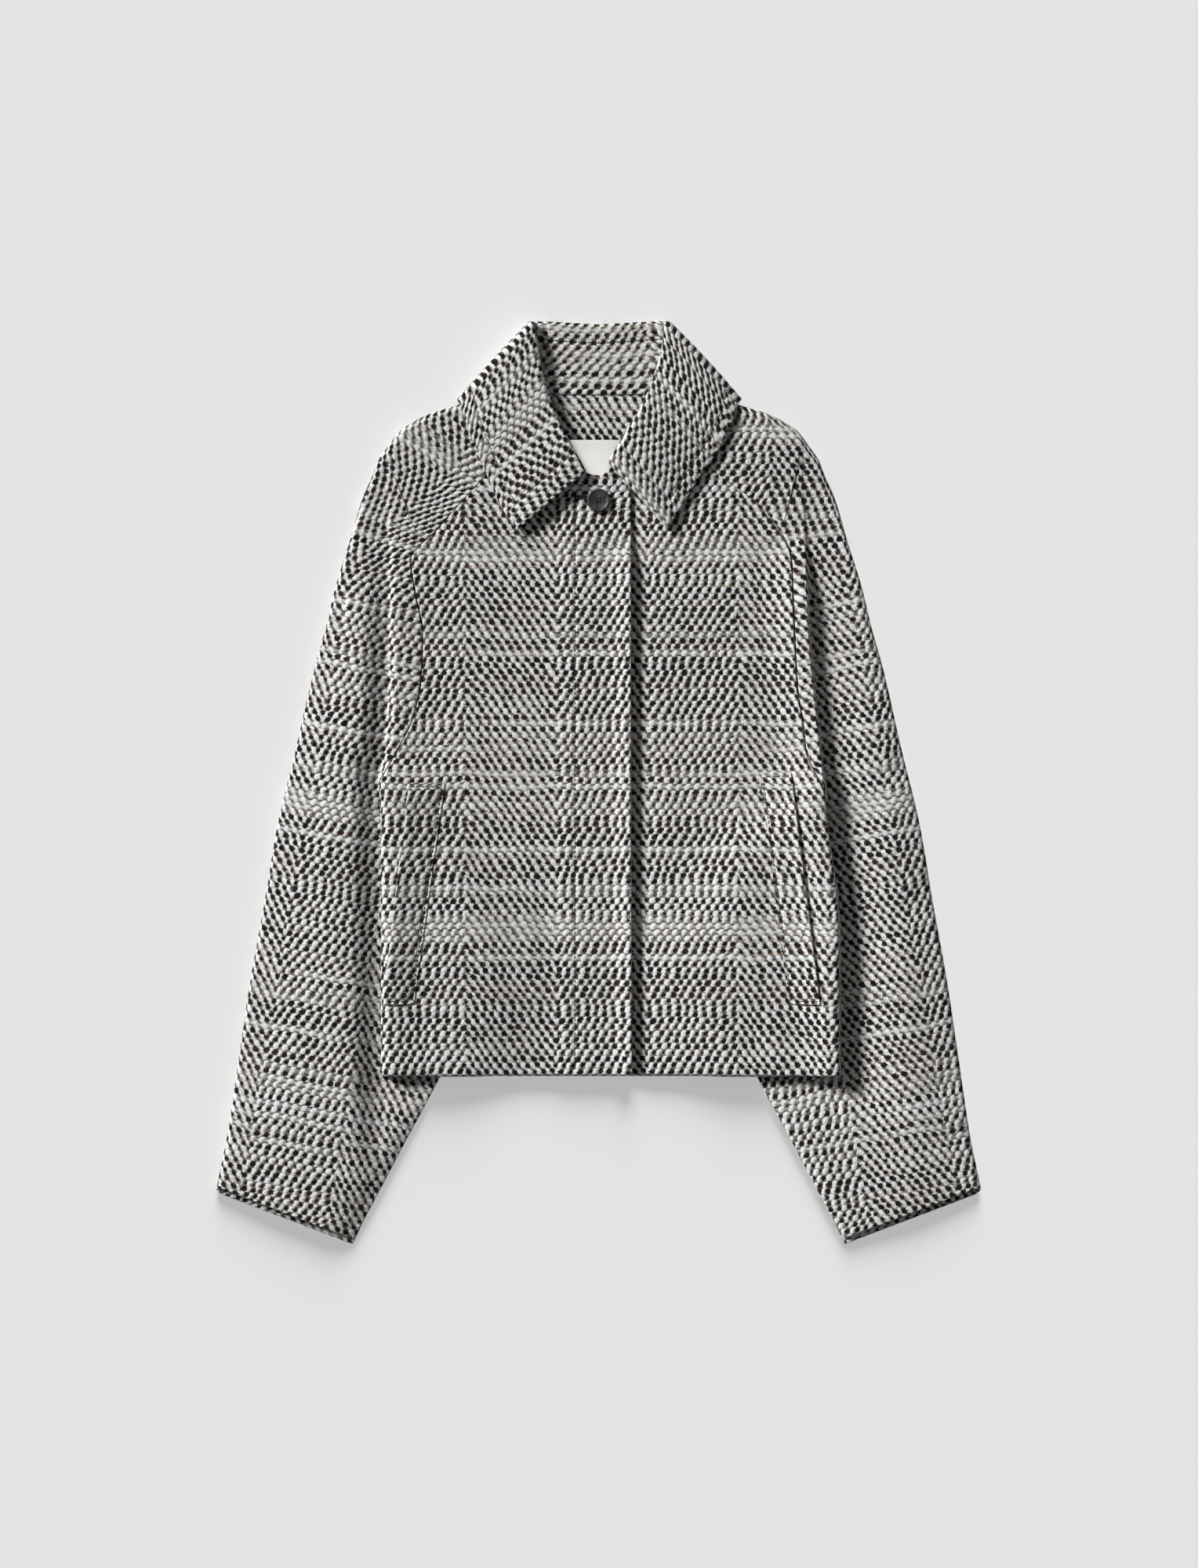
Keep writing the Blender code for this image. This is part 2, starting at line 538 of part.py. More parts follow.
def sleeve(half):
    """A raglan sleeve, one strip folded at its outer edge."""
    outer, inner = sleeve_grids(half)
    wall(f"sleeve_{half.name}", outer, inner)


def collar():
    """The collar, one strip from leaf to leaf."""
    faces = []
    for left, right in zip(collar_half(LEFT), collar_half(RIGHT)):
        faces.append(np.concatenate([left, right[-2::-1]]))
    wall("collar", *faces)


def turned(profile, sides):
    """A closed turned body from rows of radius and height."""
    mesh = bmesh.new()
    rings = []
    for radius, height in profile:
        angles = np.arange(sides) * 2 * math.pi / sides
        rings.append([mesh.verts.new((radius * math.cos(a), radius * math.sin(a), height)) for a in angles])
    for low, high in zip(rings, rings[1:]):
        for i in range(sides):
            k = (i + 1) % sides
            mesh.faces.new((low[i], low[k], high[k], high[i]))
    mesh.faces.new(rings[0][::-1])
    mesh.faces.new(rings[-1])
    return mesh


def button():
    """The neck button, dished, with four holes."""
    inside = BUTTON_RADIUS - BUTTON_RIM
    profile = (
        (BUTTON_RADIUS - BUTTON_EDGE, 0.0),
        (BUTTON_RADIUS, BUTTON_EDGE),
        (BUTTON_RADIUS, BUTTON_HEIGHT - BUTTON_EDGE),
        (BUTTON_RADIUS - BUTTON_EDGE, BUTTON_HEIGHT),
        (inside, BUTTON_HEIGHT),
        (inside - BUTTON_DISH, BUTTON_HEIGHT - BUTTON_DISH),
    )
    made = add("button", turned(profile, BUTTON_SIDES), BUTTON_COLOUR, BUTTON_ROUGHNESS)
    seat = front_top(LEFT, -BUTTON_X, BUTTON_Y) + SEAM_GAP
    made.location = np.array((BUTTON_X, BUTTON_Y, seat)) * MM
    for sign_x in (-1, 1):
        for sign_y in (-1, 1):
            ends = (-CUTTER_REACH, BUTTON_HEIGHT + CUTTER_REACH)
            hole = turned([(BUTTON_HOLE_RADIUS, end) for end in ends], HOLE_SIDES)
            cutter = add(f"button_hole_{sign_x}_{sign_y}", hole, BUTTON_COLOUR, BUTTON_ROUGHNESS)
            cutter.parent = made
            cutter.location = np.array((sign_x, sign_y, 0)) * BUTTON_HOLE_OFFSET * MM
            cutter.hide_render = True
            cutter.display_type = "WIRE"
            cut = made.modifiers.new("hole", "BOOLEAN")
            cut.operation = "DIFFERENCE"
            cut.object = cutter


def main():
    for old in list(bpy.data.objects):
        bpy.data.objects.remove(old, do_unlink=True)
    back_and_label()
    for half in (LEFT, RIGHT):
        front_and_welt(half)
        sleeve(half)
    collar()
    button()


main()
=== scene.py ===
"""The looks of a short wool coat of herringbone tweed that lies flat on its back, front up.

Each panel is a shell on the form of its solid: the same sections drawn finely, with rounded edges, creases
placed one by one, the relief of the weave and the grooves of the topstitching.
millimetres, in the frame of the solids: x to the viewer's right, y from the hem to the collar, z up from
the surface. Each half of the coat counts "out" from the middle towards its sleeve.
"""
import math
from collections import namedtuple

import bmesh
import bpy
import numpy as np
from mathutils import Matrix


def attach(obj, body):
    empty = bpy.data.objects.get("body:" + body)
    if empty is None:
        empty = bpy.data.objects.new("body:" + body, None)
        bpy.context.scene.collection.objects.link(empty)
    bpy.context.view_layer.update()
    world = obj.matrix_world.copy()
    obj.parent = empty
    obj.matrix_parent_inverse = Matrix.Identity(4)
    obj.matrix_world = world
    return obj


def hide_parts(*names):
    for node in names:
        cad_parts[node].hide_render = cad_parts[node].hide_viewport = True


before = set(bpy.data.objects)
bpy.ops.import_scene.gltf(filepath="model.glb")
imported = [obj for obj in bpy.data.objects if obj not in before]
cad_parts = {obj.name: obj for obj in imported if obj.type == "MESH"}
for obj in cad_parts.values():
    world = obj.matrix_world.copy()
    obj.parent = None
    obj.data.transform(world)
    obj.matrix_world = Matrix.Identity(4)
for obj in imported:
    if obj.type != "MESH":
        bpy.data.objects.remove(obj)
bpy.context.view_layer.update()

MM = 0.001

# Cloth
WALL = 3.0
RIM = 0.5
EDGE = RIM * WALL / 2
SEAM_GAP = 0.3
LAYER_GAP = 0.4
STACK = 2 * WALL + LAYER_GAP

# Body
HEM_Y = -237.4
BACK_HEM_Y = -238.8
UNDERARM_Y = 1.0
FRONT_TOP_Y = 290.0
FRONT_LOFT = 2.6
PLACKET_LOFT = 4.6
PLACKET_START, PLACKET_RAMP = -45.0, 25.0
PLACKET_ROLL, PLACKET_ROLL_WIDTH = 5.0, 18.0
PLACKET_ROLL_TOP_Y, PLACKET_ROLL_FADE = 205.0, 30.0
SIDE_ROLL = {"left": 3.5, "right": 11.0}
SIDE_ROLL_EDGE = {"left": 6.0, "right": 3.5}
SIDE_ROLL_WIDTH = 40.0
SIDE_ROLL_TOP_Y, SIDE_ROLL_FADE = 215.0, 70.0
UNDERLAP_LOFT = 1.1
UNDERLAP_CLEAR, UNDERLAP_RAMP = 3.0, 20.0
SIDE_ROUND = 14.0

# Hidden part of a sleeve, pressed flat under the body, and what it lifts
SLEEVE_FLAT = STACK + 0.2
SLEEVE_LIFT = SLEEVE_FLAT + 0.5
LIFT_MARGIN, LIFT_RAMP = 45.0, 20.0
LIFT_TOP_Y, LIFT_DROP = 8.0, 22.0
COVER_MARGIN, COVER_RAMP = 75.0, 70.0
COVER_TOP_Y, COVER_DROP = 26.0, 36.0

# Fall of the collar, on the surface under the back neck, and what it lifts
FALL_LIFT = WALL + LAYER_GAP
FALL_EDGE_Y, FALL_EDGE_RISE, FALL_EDGE_OUT = 300.0, 13.0, 116.0
FALL_START, FALL_RAMP = 34.0, 28.0
NECK_COVER_Y, NECK_COVER_RAMP = 235.0, 50.0

# Sleeve section
SLEEVE_FOLD = 6.0
VALLEY_START, VALLEY_OUT, VALLEY_LEAST, VALLEY_WIDTH = -2.0, 1.5, 1.0, 42.0
FOLD_REACH = 3.0
VALLEY_FLAT = {"left": 0.0, "right": 12.0}
SLEEVE_PUFF, PUFF_LEAST = 10.0, 0.35
PUFF_RISE = {"left": 25.0, "right": 60.0}
PUFF_TOP_Y, PUFF_TOP_FADE = 230.0, 130.0
PUFF_CUFF_Y, PUFF_CUFF_FADE = -360.0, 130.0
DIVE = 19.0
TUCK, TUCK_IN, TUCK_WAY = 3.0, 0.3, 9.0
UNDERARM_SEAM_TOP = STACK - 0.1
UNDERARM_ROUND = 14.0
CUFF_STEP = 5.5
CUFF_STEP_WAY = (0.17, -0.985)

# Collar section
COLLAR_FOLD_DEPTH = 4.5
COLLAR_FOLD_HALF = WALL + 0.7
SHOULDER_ROLL = 4.0
LEAF_POINT_GAP = 2.0
LEAF_EDGE_GAP = 1.6
LEAF_BOW = 1.8
STAND_RAISE = -2.2
STAND_LAP = np.linspace(0, 10, 5)
PLACKET_REACH, PLACKET_FADE = 60.0, 25.0

# Trim
WELT_THICKNESS = 2.0
WELT_BOTTOM_Y = -180.0
WELT_SEWN = 0.5
WELT_MOUTH_LIFT, WELT_MOUTH_WIDTH, WELT_END = 1.6, 14.0, 25.0
LABEL_THICKNESS = 1.0
LABEL_LEFT_X, LABEL_RIGHT_X = -33.0, 27.0
LABEL_BOTTOM_Y, LABEL_TOP_Y = 240.0, 280.0
BUTTON_X, BUTTON_Y = 0.0, 229.8
BUTTON_HEIGHT = 3.6

# Weave
DOT_PITCH, ROW_PITCH = 7.6, 5.15
HERRINGBONE = 74.3
WELT_STRIPE, NECK_STRIPE = 20.0, 1.5 * HERRINGBONE
FRONT_STRIPE = {"left": -35.0, "right": 40.0}
RELIEF, RELIEF_PUFF, PIT = 0.22, 0.4, 1.3
GROOVE, GROOVE_WIDTH = 0.9, 1.3
SLEEVE_PIVOT, SLEEVE_TILT = (215.0, 100.0), 10.0
SHOULDER_TURN = {"left": 22.0, "right": -10.0}
SHOULDER_START, SHOULDER_WAY = 150.0, 110.0
# YARN_SHADE, the grey of the white yarn, is painted shade at the edges of its puffs
YARN_WHITE, YARN_SHADE = (0.75, 0.765, 0.75, 1.0), (0.54, 0.53, 0.505, 1.0)
# The gap colour is painted shadow between the puffs and in the twill's grooves
YARN_GAP_SHADOW, YARN_TAUPE = (0.04, 0.031, 0.023, 1.0), (0.21, 0.155, 0.105, 1.0)
YARN_DARK, YARN_BROWN = (0.006, 0.005, 0.0045, 1.0), (0.028, 0.017, 0.011, 1.0)

# Colours of the trim
THREAD_DARK, THREAD_LIGHT = (0.008, 0.007, 0.006, 1.0), (0.04, 0.036, 0.032, 1.0)
# The side colour of the satin is painted shade, darker than its middle
SATIN_SIDE_SHADE, SATIN_MIDDLE = (0.60, 0.585, 0.555, 1.0), (0.83, 0.82, 0.80, 1.0)
SATIN_LINE = (0.5, 0.49, 0.47, 1.0)
BUTTON_DARK, BUTTON_CLOUD = (0.022, 0.023, 0.024, 1.0), (0.055, 0.056, 0.057, 1.0)
BUTTON_SPECK = (0.14, 0.13, 0.12, 1.0)

# Fineness of the grids
FINE, BACK_FINE, WELT_FINE = 1.5, 2.4, 1.2
NECK_LOW_Y, NECK_HIGH_Y, NECK_FINE = 236.0, 258.0, 0.5
FRONT_COLUMNS, BACK_COLUMNS, WELT_COLUMNS = 138, 156, 24
LABEL_ROWS, LABEL_COLUMNS = 30, 46
SLEEVE_ROWS, FOLD_SAMPLES = 420, 401
FOLD_COLUMNS = (18, 11, 43)
OUTER_FOLD_COLUMNS, UNDER_COLUMNS = 13, 64
STAND_COLUMNS, COLLAR_FOLD_COLUMNS, FALL_COLUMNS = 24, 13, 51
COLLAR_TURN = STAND_COLUMNS + COLLAR_FOLD_COLUMNS // 2
COARSE, LESS_COARSE = 6, 2
RIM_ANGLES = np.radians((40, 80, 120, 160))


def table(names, *rows):
    """Rows of numbers as named columns, in the order of the first column."""
    return dict(zip(names.split(), np.array(sorted(rows), float).T))


# Front edge of each sleeve: the raglan seam down to the underarm, then the edge hidden behind the body,
# then the free edge from the hem to the cuff
SEAM_LEFT = table(
    "y out",
    (296, 52), (279, 66), (242, 99.5), (205, 133), (182, 152.6), (155, 149), (122, 143), (89, 144),
    (56, 150), (26, 164), (10, 173), (1, 177.6), (-8, 178.8), (-16, 178.6), (-24, 174), (-36, 163),
    (-50, 150), (-95, 118), (-150, 103), (-200, 110), (-239, 129), (-297, 160), (-348, 187), (-371, 200),
)
SEAM_RIGHT = table(
    "y out",
    (296, 50), (279, 68), (255, 92.5), (219.5, 138), (183, 156.5), (147, 158), (77, 161.6), (49, 166),
    (26, 168.6), (10, 175), (1, 179.8), (-8, 185.6), (-16, 187), (-24, 182), (-36, 168),
    (-50, 153), (-95, 119), (-150, 103), (-200, 110), (-239, 129), (-297, 160), (-348, 187), (-371, 200),
)
# Side edge of the body below the underarm
SIDE_LEFT = table("y out", (-240, 177), (-120, 177), (1, 177.3))
SIDE_RIGHT = table(
    "y out", (-240, 197), (-137, 197), (-92, 195), (-60, 189.6), (-29, 185.6), (-10, 183.4), (1, 179.5)
)
# Line of the fold that runs down the armhole and on along the side of the body
FOLD_LEFT = table(
    "y out", (-240, 177), (0, 177.3), (30, 173), (100, 170), (180, 170), (250, 172), (335, 172)
)
FOLD_RIGHT = table(
    "y out",
    (-240, 197), (-137, 197), (-92, 195), (-60, 191), (-22, 187), (38, 181), (120, 173), (191, 170),
    (250, 166), (335, 166),
)
# Placket edge and neck edge of the upper front, centre edge and neck edge of the lower front
CENTRE_LEFT = table(
    "y x",
    (-240, 27.5), (0, 26.6), (226, 26.6), (238, 25.5), (244, 21), (248.5, 12), (250, 2), (251.5, -7),
    (256, -15), (270, -31), (285, -43), (296, -49),
)
CENTRE_RIGHT = table(
    "y x", (-240, -18), (236, -18), (243, -10), (250, 2), (256, 9), (268, 22), (281, 34), (296, 45)
)
# Outer and inner edges of the pocket welts
WELT_LEFT = table("y outer inner", (WELT_BOTTOM_Y, 175.4, 149), (UNDERARM_Y, 154.2, 123.9))
WELT_RIGHT = table("y outer inner", (WELT_BOTTOM_Y, 179.8, 153.5), (10, 156.4, 129.7))
# Half of the collar: lower edge of the stand, tip of the fold, outer edge, and the angle that the fall has
# turned through, from lying on the front to lying under the back
COLLAR_LEFT = table(
    "row stand_out stand_y tip_out tip_y edge_out edge_y turn",
    (0, 17.7, 244.9, 9.3, 252, 66.2, 204.2, 0), (1, 36.5, 269.3, 24.6, 280, 81.5, 228.5, 0),
    (2, 46.5, 281.2, 32, 295, 87.3, 242.3, 0), (3, 61, 313, 44.5, 330, 100.3, 273, 0),
    (4, 66, 324, 49.6, 359, 109, 297, 0), (5, 68, 331, 52, 371, 111.4, 306.5, 0),
    (6, 69, 336, 52.5, 375, 111.6, 308.1, 90), (7, 66, 331, 50, 376.4, 109.5, 309.5, 180),
    (8, 57, 320, 45, 376.4, 98, 309, 180), (9, 30, 317, 24, 375.5, 55, 303, 180),
    (10, 0, 316.8, 0, 374, 0, 300, 180),
)
COLLAR_RIGHT = table(
    "row stand_out stand_y tip_out tip_y edge_out edge_y turn",
    (0, 14, 251.7, 6.7, 260, 55, 205, 0), (1, 32, 273, 21.4, 285, 70.3, 229.7, 0),
    (2, 48.2, 292, 35, 307, 84, 251.6, 0), (3, 60, 311, 43, 326, 96, 268.5, 0),
    (4, 66, 324, 51.5, 356, 109.5, 296.5, 0), (5, 68, 331, 53, 371, 112.4, 307, 0),
    (6, 69, 336, 54, 375, 112.6, 309, 90), (7, 66, 331, 51, 376.4, 110, 310, 180),
    (8, 57, 320, 46, 376.4, 98, 309, 180), (9, 30, 317, 25, 375.5, 55, 303, 180),
    (10, 0, 316.8, 0, 374, 0, 300, 180),
)
# Raglan seam on the back, the same on both sides
BACK_SEAM = table(
    "y out",
    (323, 45), (298, 58), (260, 80), (220, 101), (185, 117), (155, 129), (122, 141), (90, 151), (58, 161),
    (28, 170), (1, 177.3),
)
# Outer edge of a sleeve, from the neck over the shoulder to the cuff
OUTLINE = table(
    "y out",
    (333, 72), (322, 90), (309, 112), (300, 139.5), (287, 161.6), (275, 171), (262, 180), (249, 185),
    (236, 191), (223, 195.5), (198, 202.6), (159, 214.7), (127, 222.4), (95, 231.4), (31, 246),
    (-33, 261.4), (-97, 272.3), (-161, 283.8), (-225, 293.4), (-289, 303), (-329, 311.4),
)
# Where a section of the sleeve meets its front edge, its back edge and its outer edge
STATIONS = table(
    "station front_y back_y fold_y",
    (0, 296, 323, 333), (1, 279, 301, 325), (2, 260, 280, 316), (3, 242, 260, 305), (4, 222, 240, 293),
    (5, 205, 218, 280), (6, 182, 190, 261), (7, 155, 160, 236), (8, 122, 124, 205), (9, 89, 90, 172),
    (10, 56, 57, 133), (11, 26, 27, 97), (12, 10, 10, 74), (13, 1, 1, 58), (14, -22, -22, 28),
    (15, -50, -50, -4), (16, -95, -95, -42), (17, -150, -150, -90), (18, -200, -200, -135),
    (19, -239, -239, -180), (20, -297, -297, -245), (21, -348, -348, -303), (22, -371, -371, -329),
)
CUFF_STATION = 22
SLEEVE_START, SLEEVE_SHORT = 0.05, 0.06
# Heights of the upper layer of a sleeve: along its middle, in the fold at the armhole, and under the body
SLEEVE_HEIGHTS = table(
    "y crown valley hidden",
    (-371, 8.8, 8.8, 8.8), (-300, 9.4, 9.4, 9.4), (-272, 9.7, 9.0, 8.6), (-248, 9.8, 7.2, SLEEVE_FLAT),
    (-200, 9.8, 7.0, SLEEVE_FLAT), (40, 9.8, 6.9, SLEEVE_FLAT), (180, 9.8, 7.0, SLEEVE_FLAT),
    (250, 9.4, 8.0, SLEEVE_FLAT), (290, 8.0, 8.0, SLEEVE_FLAT), (335, 8.0, 8.0, SLEEVE_FLAT),
)
# Soft troughs and ridges in the upper layer: two ends, half width, height. The first nine listed are in the
# solids too
CREASES = table(
    "x0 y0 x1 y1 half height",
    (-262, 30, -205, -22, 16, -0.9), (-286, -110, -206, -150, 18, -0.8), (-222, 60, -262, -60, 20, 0.6),
    (262, 40, 212, -30, 16, -0.9), (280, -80, 216, -128, 18, -0.9), (-120, 165, -65, 125, 20, -0.7),
    (130, 150, 70, 60, 26, -0.7), (-95, -60, -60, -200, 26, -0.6), (80, -80, 120, -220, 26, -0.6),
    (-214, 170, -196, 60, 9, -0.7), (-236, -20, -262, -180, 12, 0.5), (-298, -250, -235, -285, 12, -0.5),
    (-226, -190, -204, -300, 11, -0.5), (-187, 215, -205, 120, 8, 0.5), (-240, 90, -213, 48, 9, -0.6),
    (212, 150, 204, 30, 9, -0.6), (262, -30, 284, -200, 12, 0.5), (296, -240, 238, -262, 12, -0.6),
    (226, -170, 212, -310, 11, -0.5), (236, 100, 214, 62, 9, -0.5), (-150, 130, -100, 100, 12, -0.5),
    (-160, 40, -118, 62, 10, -0.5), (-110, 20, -96, -40, 14, 0.5), (-60, -30, -52, -170, 12, 0.4),
    (146, 60, 108, 92, 11, -0.5), (60, 20, 52, -120, 14, 0.5), (138, -60, 132, -200, 10, -0.4),
    (-165, 205, -128, 178, 9, -0.5), (160, 205, 124, 178, 9, -0.5), (-120, -228, -92, -205, 12, -0.4),
)
# Collar rows between which one stretch of rows is spread evenly, and the number of rows in it
COLLAR_STRETCHES = ((0, 5, 84), (5, 7, 24), (7, 10, 34))
COLLAR_FIRST_ROW = 0.06

Half = namedtuple("Half", "name sign seam side fold centre welt collar")
LEFT = Half("left", -1, SEAM_LEFT, SIDE_LEFT, FOLD_LEFT, CENTRE_LEFT, WELT_LEFT, COLLAR_LEFT)
RIGHT = Half("right", 1, SEAM_RIGHT, SIDE_RIGHT, FOLD_RIGHT, CENTRE_RIGHT, WELT_RIGHT, COLLAR_RIGHT)


def read(rows, column, at):
    """A column of a table at any value of its first column, on cubics that never overshoot."""
    knots, values = next(iter(rows.values())), rows[column]
    at = np.clip(at, knots[0], knots[-1])
    widths = np.diff(knots)
    slopes = np.diff(values) / widths
    before, after = slopes[:-1], slopes[1:]
    same_way = before * after > 0
    total = np.where(same_way, before + after, 1.0)
    inner = np.where(same_way, 2 * before * after / total, 0.0)
    tangents = np.concatenate([slopes[:1], inner, slopes[-1:]])
    low = np.clip(np.searchsorted(knots, at, side="right") - 1, 0, len(widths) - 1)
    part = (at - knots[low]) / widths[low]
    rise = values[low + 1] - values[low]
    first, last = widths[low] * tangents[low], widths[low] * tangents[low + 1]
    square, cube = 3 * rise - 2 * first - last, first + last - 2 * rise
    return values[low] + part * (first + part * (square + part * cube))


def soft_step(amount):
    """0 up to 0, 1 from 1 on, and a smooth rise between."""
    amount = np.clip(amount, 0.0, 1.0)
    return amount * amount * (3 - 2 * amount)


def quarter_round(distance, size):
    """A rise from 0 at an edge to 1 at the given distance from it."""
    return np.sin(0.5 * math.pi * np.clip(distance / size, 0.0, 1.0))


def points(x, y, z):
    """Three coordinates as points."""
    return np.stack(np.broadcast_arrays(x, y, z), axis=-1).astype(float)


def pairs(u, v):
    """Two coordinates as places on the flat cloth."""
    return np.stack(np.broadcast_arrays(u, v), axis=-1).astype(float)


def raised(grid, height):
    """The same points moved up."""
    return grid + (0.0, 0.0, height)


# Heights

def fall_lift(out, y):
    """How far the fall of the collar lifts what lies on it."""
    edge = FALL_EDGE_Y + FALL_EDGE_RISE * (out / FALL_EDGE_OUT) ** 2
    return FALL_LIFT * soft_step((y - edge + FALL_START) / FALL_RAMP)


def neck_cover(y):
    """The same lift as it shows in the upper layers, spread over more cloth."""
    return FALL_LIFT * soft_step((y - NECK_COVER_Y) / NECK_COVER_RAMP)


def sleeve_lift(half, out, y, margin=LIFT_MARGIN, ramp=LIFT_RAMP, top=LIFT_TOP_Y, drop=LIFT_DROP):
    """How far the hidden part of a sleeve lifts the back."""
    across = soft_step((out - read(half.seam, "out", y) + margin) / ramp)
    return SLEEVE_LIFT * across * soft_step((top - y) / drop)


def sleeve_cover(half, out, y):
    """The same lift as it shows in the front."""
    return sleeve_lift(half, out, y, COVER_MARGIN, COVER_RAMP, COVER_TOP_Y, COVER_DROP)


def back_underside(x, y):
    """Lower face of the back: on the surface, or lifted by what lies under it."""
    lifts = (sleeve_lift(half, half.sign * x, y) for half in (LEFT, RIGHT))
    return sum(lifts) + fall_lift(x, y)


def crease_height(x, y):
    """Sum of the soft troughs and ridges."""
    total = 0.0
    for x0, y0, x1, y1, half_width, height in zip(*CREASES.values()):
        run_x, run_y = x1 - x0, y1 - y0
        part = np.clip(((x - x0) * run_x + (y - y0) * run_y) / (run_x**2 + run_y**2), 0.0, 1.0)
        away = np.hypot(x - x0 - part * run_x, y - y0 - part * run_y)
        total = total + height * soft_step(1 - away / half_width)
    return total


def front_loft(half, x, y):
    """Air under a front: most under the placket, least where the other front lies on it."""
    if half is LEFT:
        return FRONT_LOFT + (PLACKET_LOFT - FRONT_LOFT) * soft_step((x - PLACKET_START) / PLACKET_RAMP)
    past_placket = x - read(CENTRE_LEFT, "x", y) - UNDERLAP_CLEAR
    return UNDERLAP_LOFT + (FRONT_LOFT - UNDERLAP_LOFT) * soft_step(past_placket / UNDERLAP_RAMP)


def side_roll(half, out, y):
    """Fullness of the fold that runs down the armhole and the side of the body."""
    inside = np.maximum(read(half.fold, "out", y) - out, 0.0)
    fade = soft_step((SIDE_ROLL_TOP_Y - y) / SIDE_ROLL_FADE)
    rise = soft_step(1 - inside / SIDE_ROLL_WIDTH) * quarter_round(inside, SIDE_ROLL_EDGE[half.name])
    return SIDE_ROLL[half.name] * fade * rise


def front_roll(half, out, y):
    """Fullness of a front along its folded edges."""
    roll = side_roll(half, out, y)
    if half is LEFT:
        inside = np.maximum(read(CENTRE_LEFT, "x", y) + out, 0.0)
        fade = soft_step((PLACKET_ROLL_TOP_Y - y) / PLACKET_ROLL_FADE)
        roll = roll + PLACKET_ROLL * soft_step(1 - inside / PLACKET_ROLL_WIDTH) * fade
    return roll


def front_top(half, out, y):
    """Upper face of a front."""
    x = half.sign * out
    rounding = quarter_round(read(half.side, "out", y) - out, SIDE_ROUND)
    closing = soft_step((UNDERARM_Y - y) / DIVE)
    loft = (front_loft(half, x, y) + crease_height(x, y)) * (1 - closing * (1 - rounding))
    return STACK + sleeve_cover(half, out, y) + neck_cover(y) + loft + front_roll(half, out, y)


def sleeve_top(half, out, y):
    """Upper face of a sleeve: level with the front at the seam, down into the fold, up to its crown."""
    seam, fold = read(half.seam, "out", y), read(half.fold, "out", y)
    hidden = read(SLEEVE_HEIGHTS, "hidden", y)
    dive = soft_step((y - UNDERARM_Y + DIVE) / DIVE)
    shown = front_top(half, seam, y) + side_roll(half, out, y) - side_roll(half, seam, y)
    inside = hidden + (shown - hidden) * dive
    valley = read(SLEEVE_HEIGHTS, "valley", y) + neck_cover(y)
    crown = read(SLEEVE_HEIGHTS, "crown", y) + neck_cover(y)
    beyond = out - fold
    start = np.clip(seam - fold, VALLEY_START, VALLEY_OUT - VALLEY_LEAST)
    falling = soft_step((beyond - start) / (VALLEY_OUT - start))
    rising = soft_step((beyond - VALLEY_OUT - VALLEY_FLAT[half.name]) / VALLEY_WIDTH)
    creases = crease_height(half.sign * out, y) * rising
    return inside + (valley - inside) * falling + (crown - valley) * rising + creases


def coat_top(half, out, y):
    """Upper face of what the collar lies on: a sleeve outside the raglan seam, the fronts inside it."""
    body = front_top(half, out, y)
    if half is RIGHT:
        share = soft_step((PLACKET_REACH - out) / PLACKET_FADE)
        body = body + share * np.maximum(front_top(LEFT, -out, y) - body, 0.0)
    outside = out > read(half.seam, "out", y)
    return np.where(outside, np.maximum(sleeve_top(half, out, y), STACK + neck_cover(y)), body)


# Faces of the cloth, as grids of points

def body_edge(half, seam, y):
    """Outer edge of the cloth of a front or the back: its raglan seam, then the side edge."""
    edge = np.where(y >= UNDERARM_Y, read(seam, "out", y), read(half.side, "out", y))
    return edge - SEAM_GAP / 2 - EDGE


def between(start, end, count):
    """Evenly spaced columns from one edge to the other."""
    return start[:, None] + (end - start)[:, None] * np.linspace(0, 1, count)


def front_faces(half):
    """Outer and inner face of a front: hem to neck, side edge to centre edge."""
    even = np.arange(HEM_Y + EDGE, FRONT_TOP_Y, FINE)
    neck = np.arange(NECK_LOW_Y, NECK_HIGH_Y, NECK_FINE)
    y = np.unique(np.round(np.concatenate([even, neck, [UNDERARM_Y]]), 2))
    centre = half.sign * read(half.centre, "x", y) + EDGE
    out = between(body_edge(half, half.seam, y), centre, FRONT_COLUMNS)
    top = front_top(half, out, y[:, None])
    outer = points(half.sign * out, y[:, None], top)
    inner = points(half.sign * out, y[:, None], top - WALL - front_roll(half, out, y[:, None]))
    return outer, inner


def back_faces():
    """Outer and inner face of the back: hem to neck, left edge to right edge."""
    y = np.arange(BACK_HEM_Y + EDGE, BACK_SEAM["y"][-1] - EDGE, BACK_FINE)
    left, right = (half.sign * body_edge(half, BACK_SEAM, y) for half in (LEFT, RIGHT))
    x = between(left, right, BACK_COLUMNS)
    outer = points(x, y[:, None], back_underside(x, y[:, None]))
    return outer, raised(outer, WALL)


def fold_columns(half, front, axis):
    """Places across the upper layer of a sleeve, close together at its fold along the armhole."""
    parts = np.linspace(0, 1, FOLD_SAMPLES)
    rows = front[:, None] + (axis - front)[:, None] * parts[:, None]
    beyond = rows[..., 0] >= read(half.fold, "out", rows[..., 1])
    near = FOLD_REACH / np.linalg.norm(axis - front, axis=-1)
    fold = np.clip(parts[np.argmax(beyond, axis=1)], 2 * near, 1 - 2 * near)
    before, at, after = FOLD_COLUMNS
    return np.concatenate(
        [
            (fold - near)[:, None] * np.linspace(0, 1, before, endpoint=False),
            (fold - near)[:, None] + (2 * near)[:, None] * np.linspace(0, 1, at, endpoint=False),
            (fold + near)[:, None] + (1 - fold - near)[:, None] * np.linspace(0, 1, after),
        ],
        axis=1,
    )


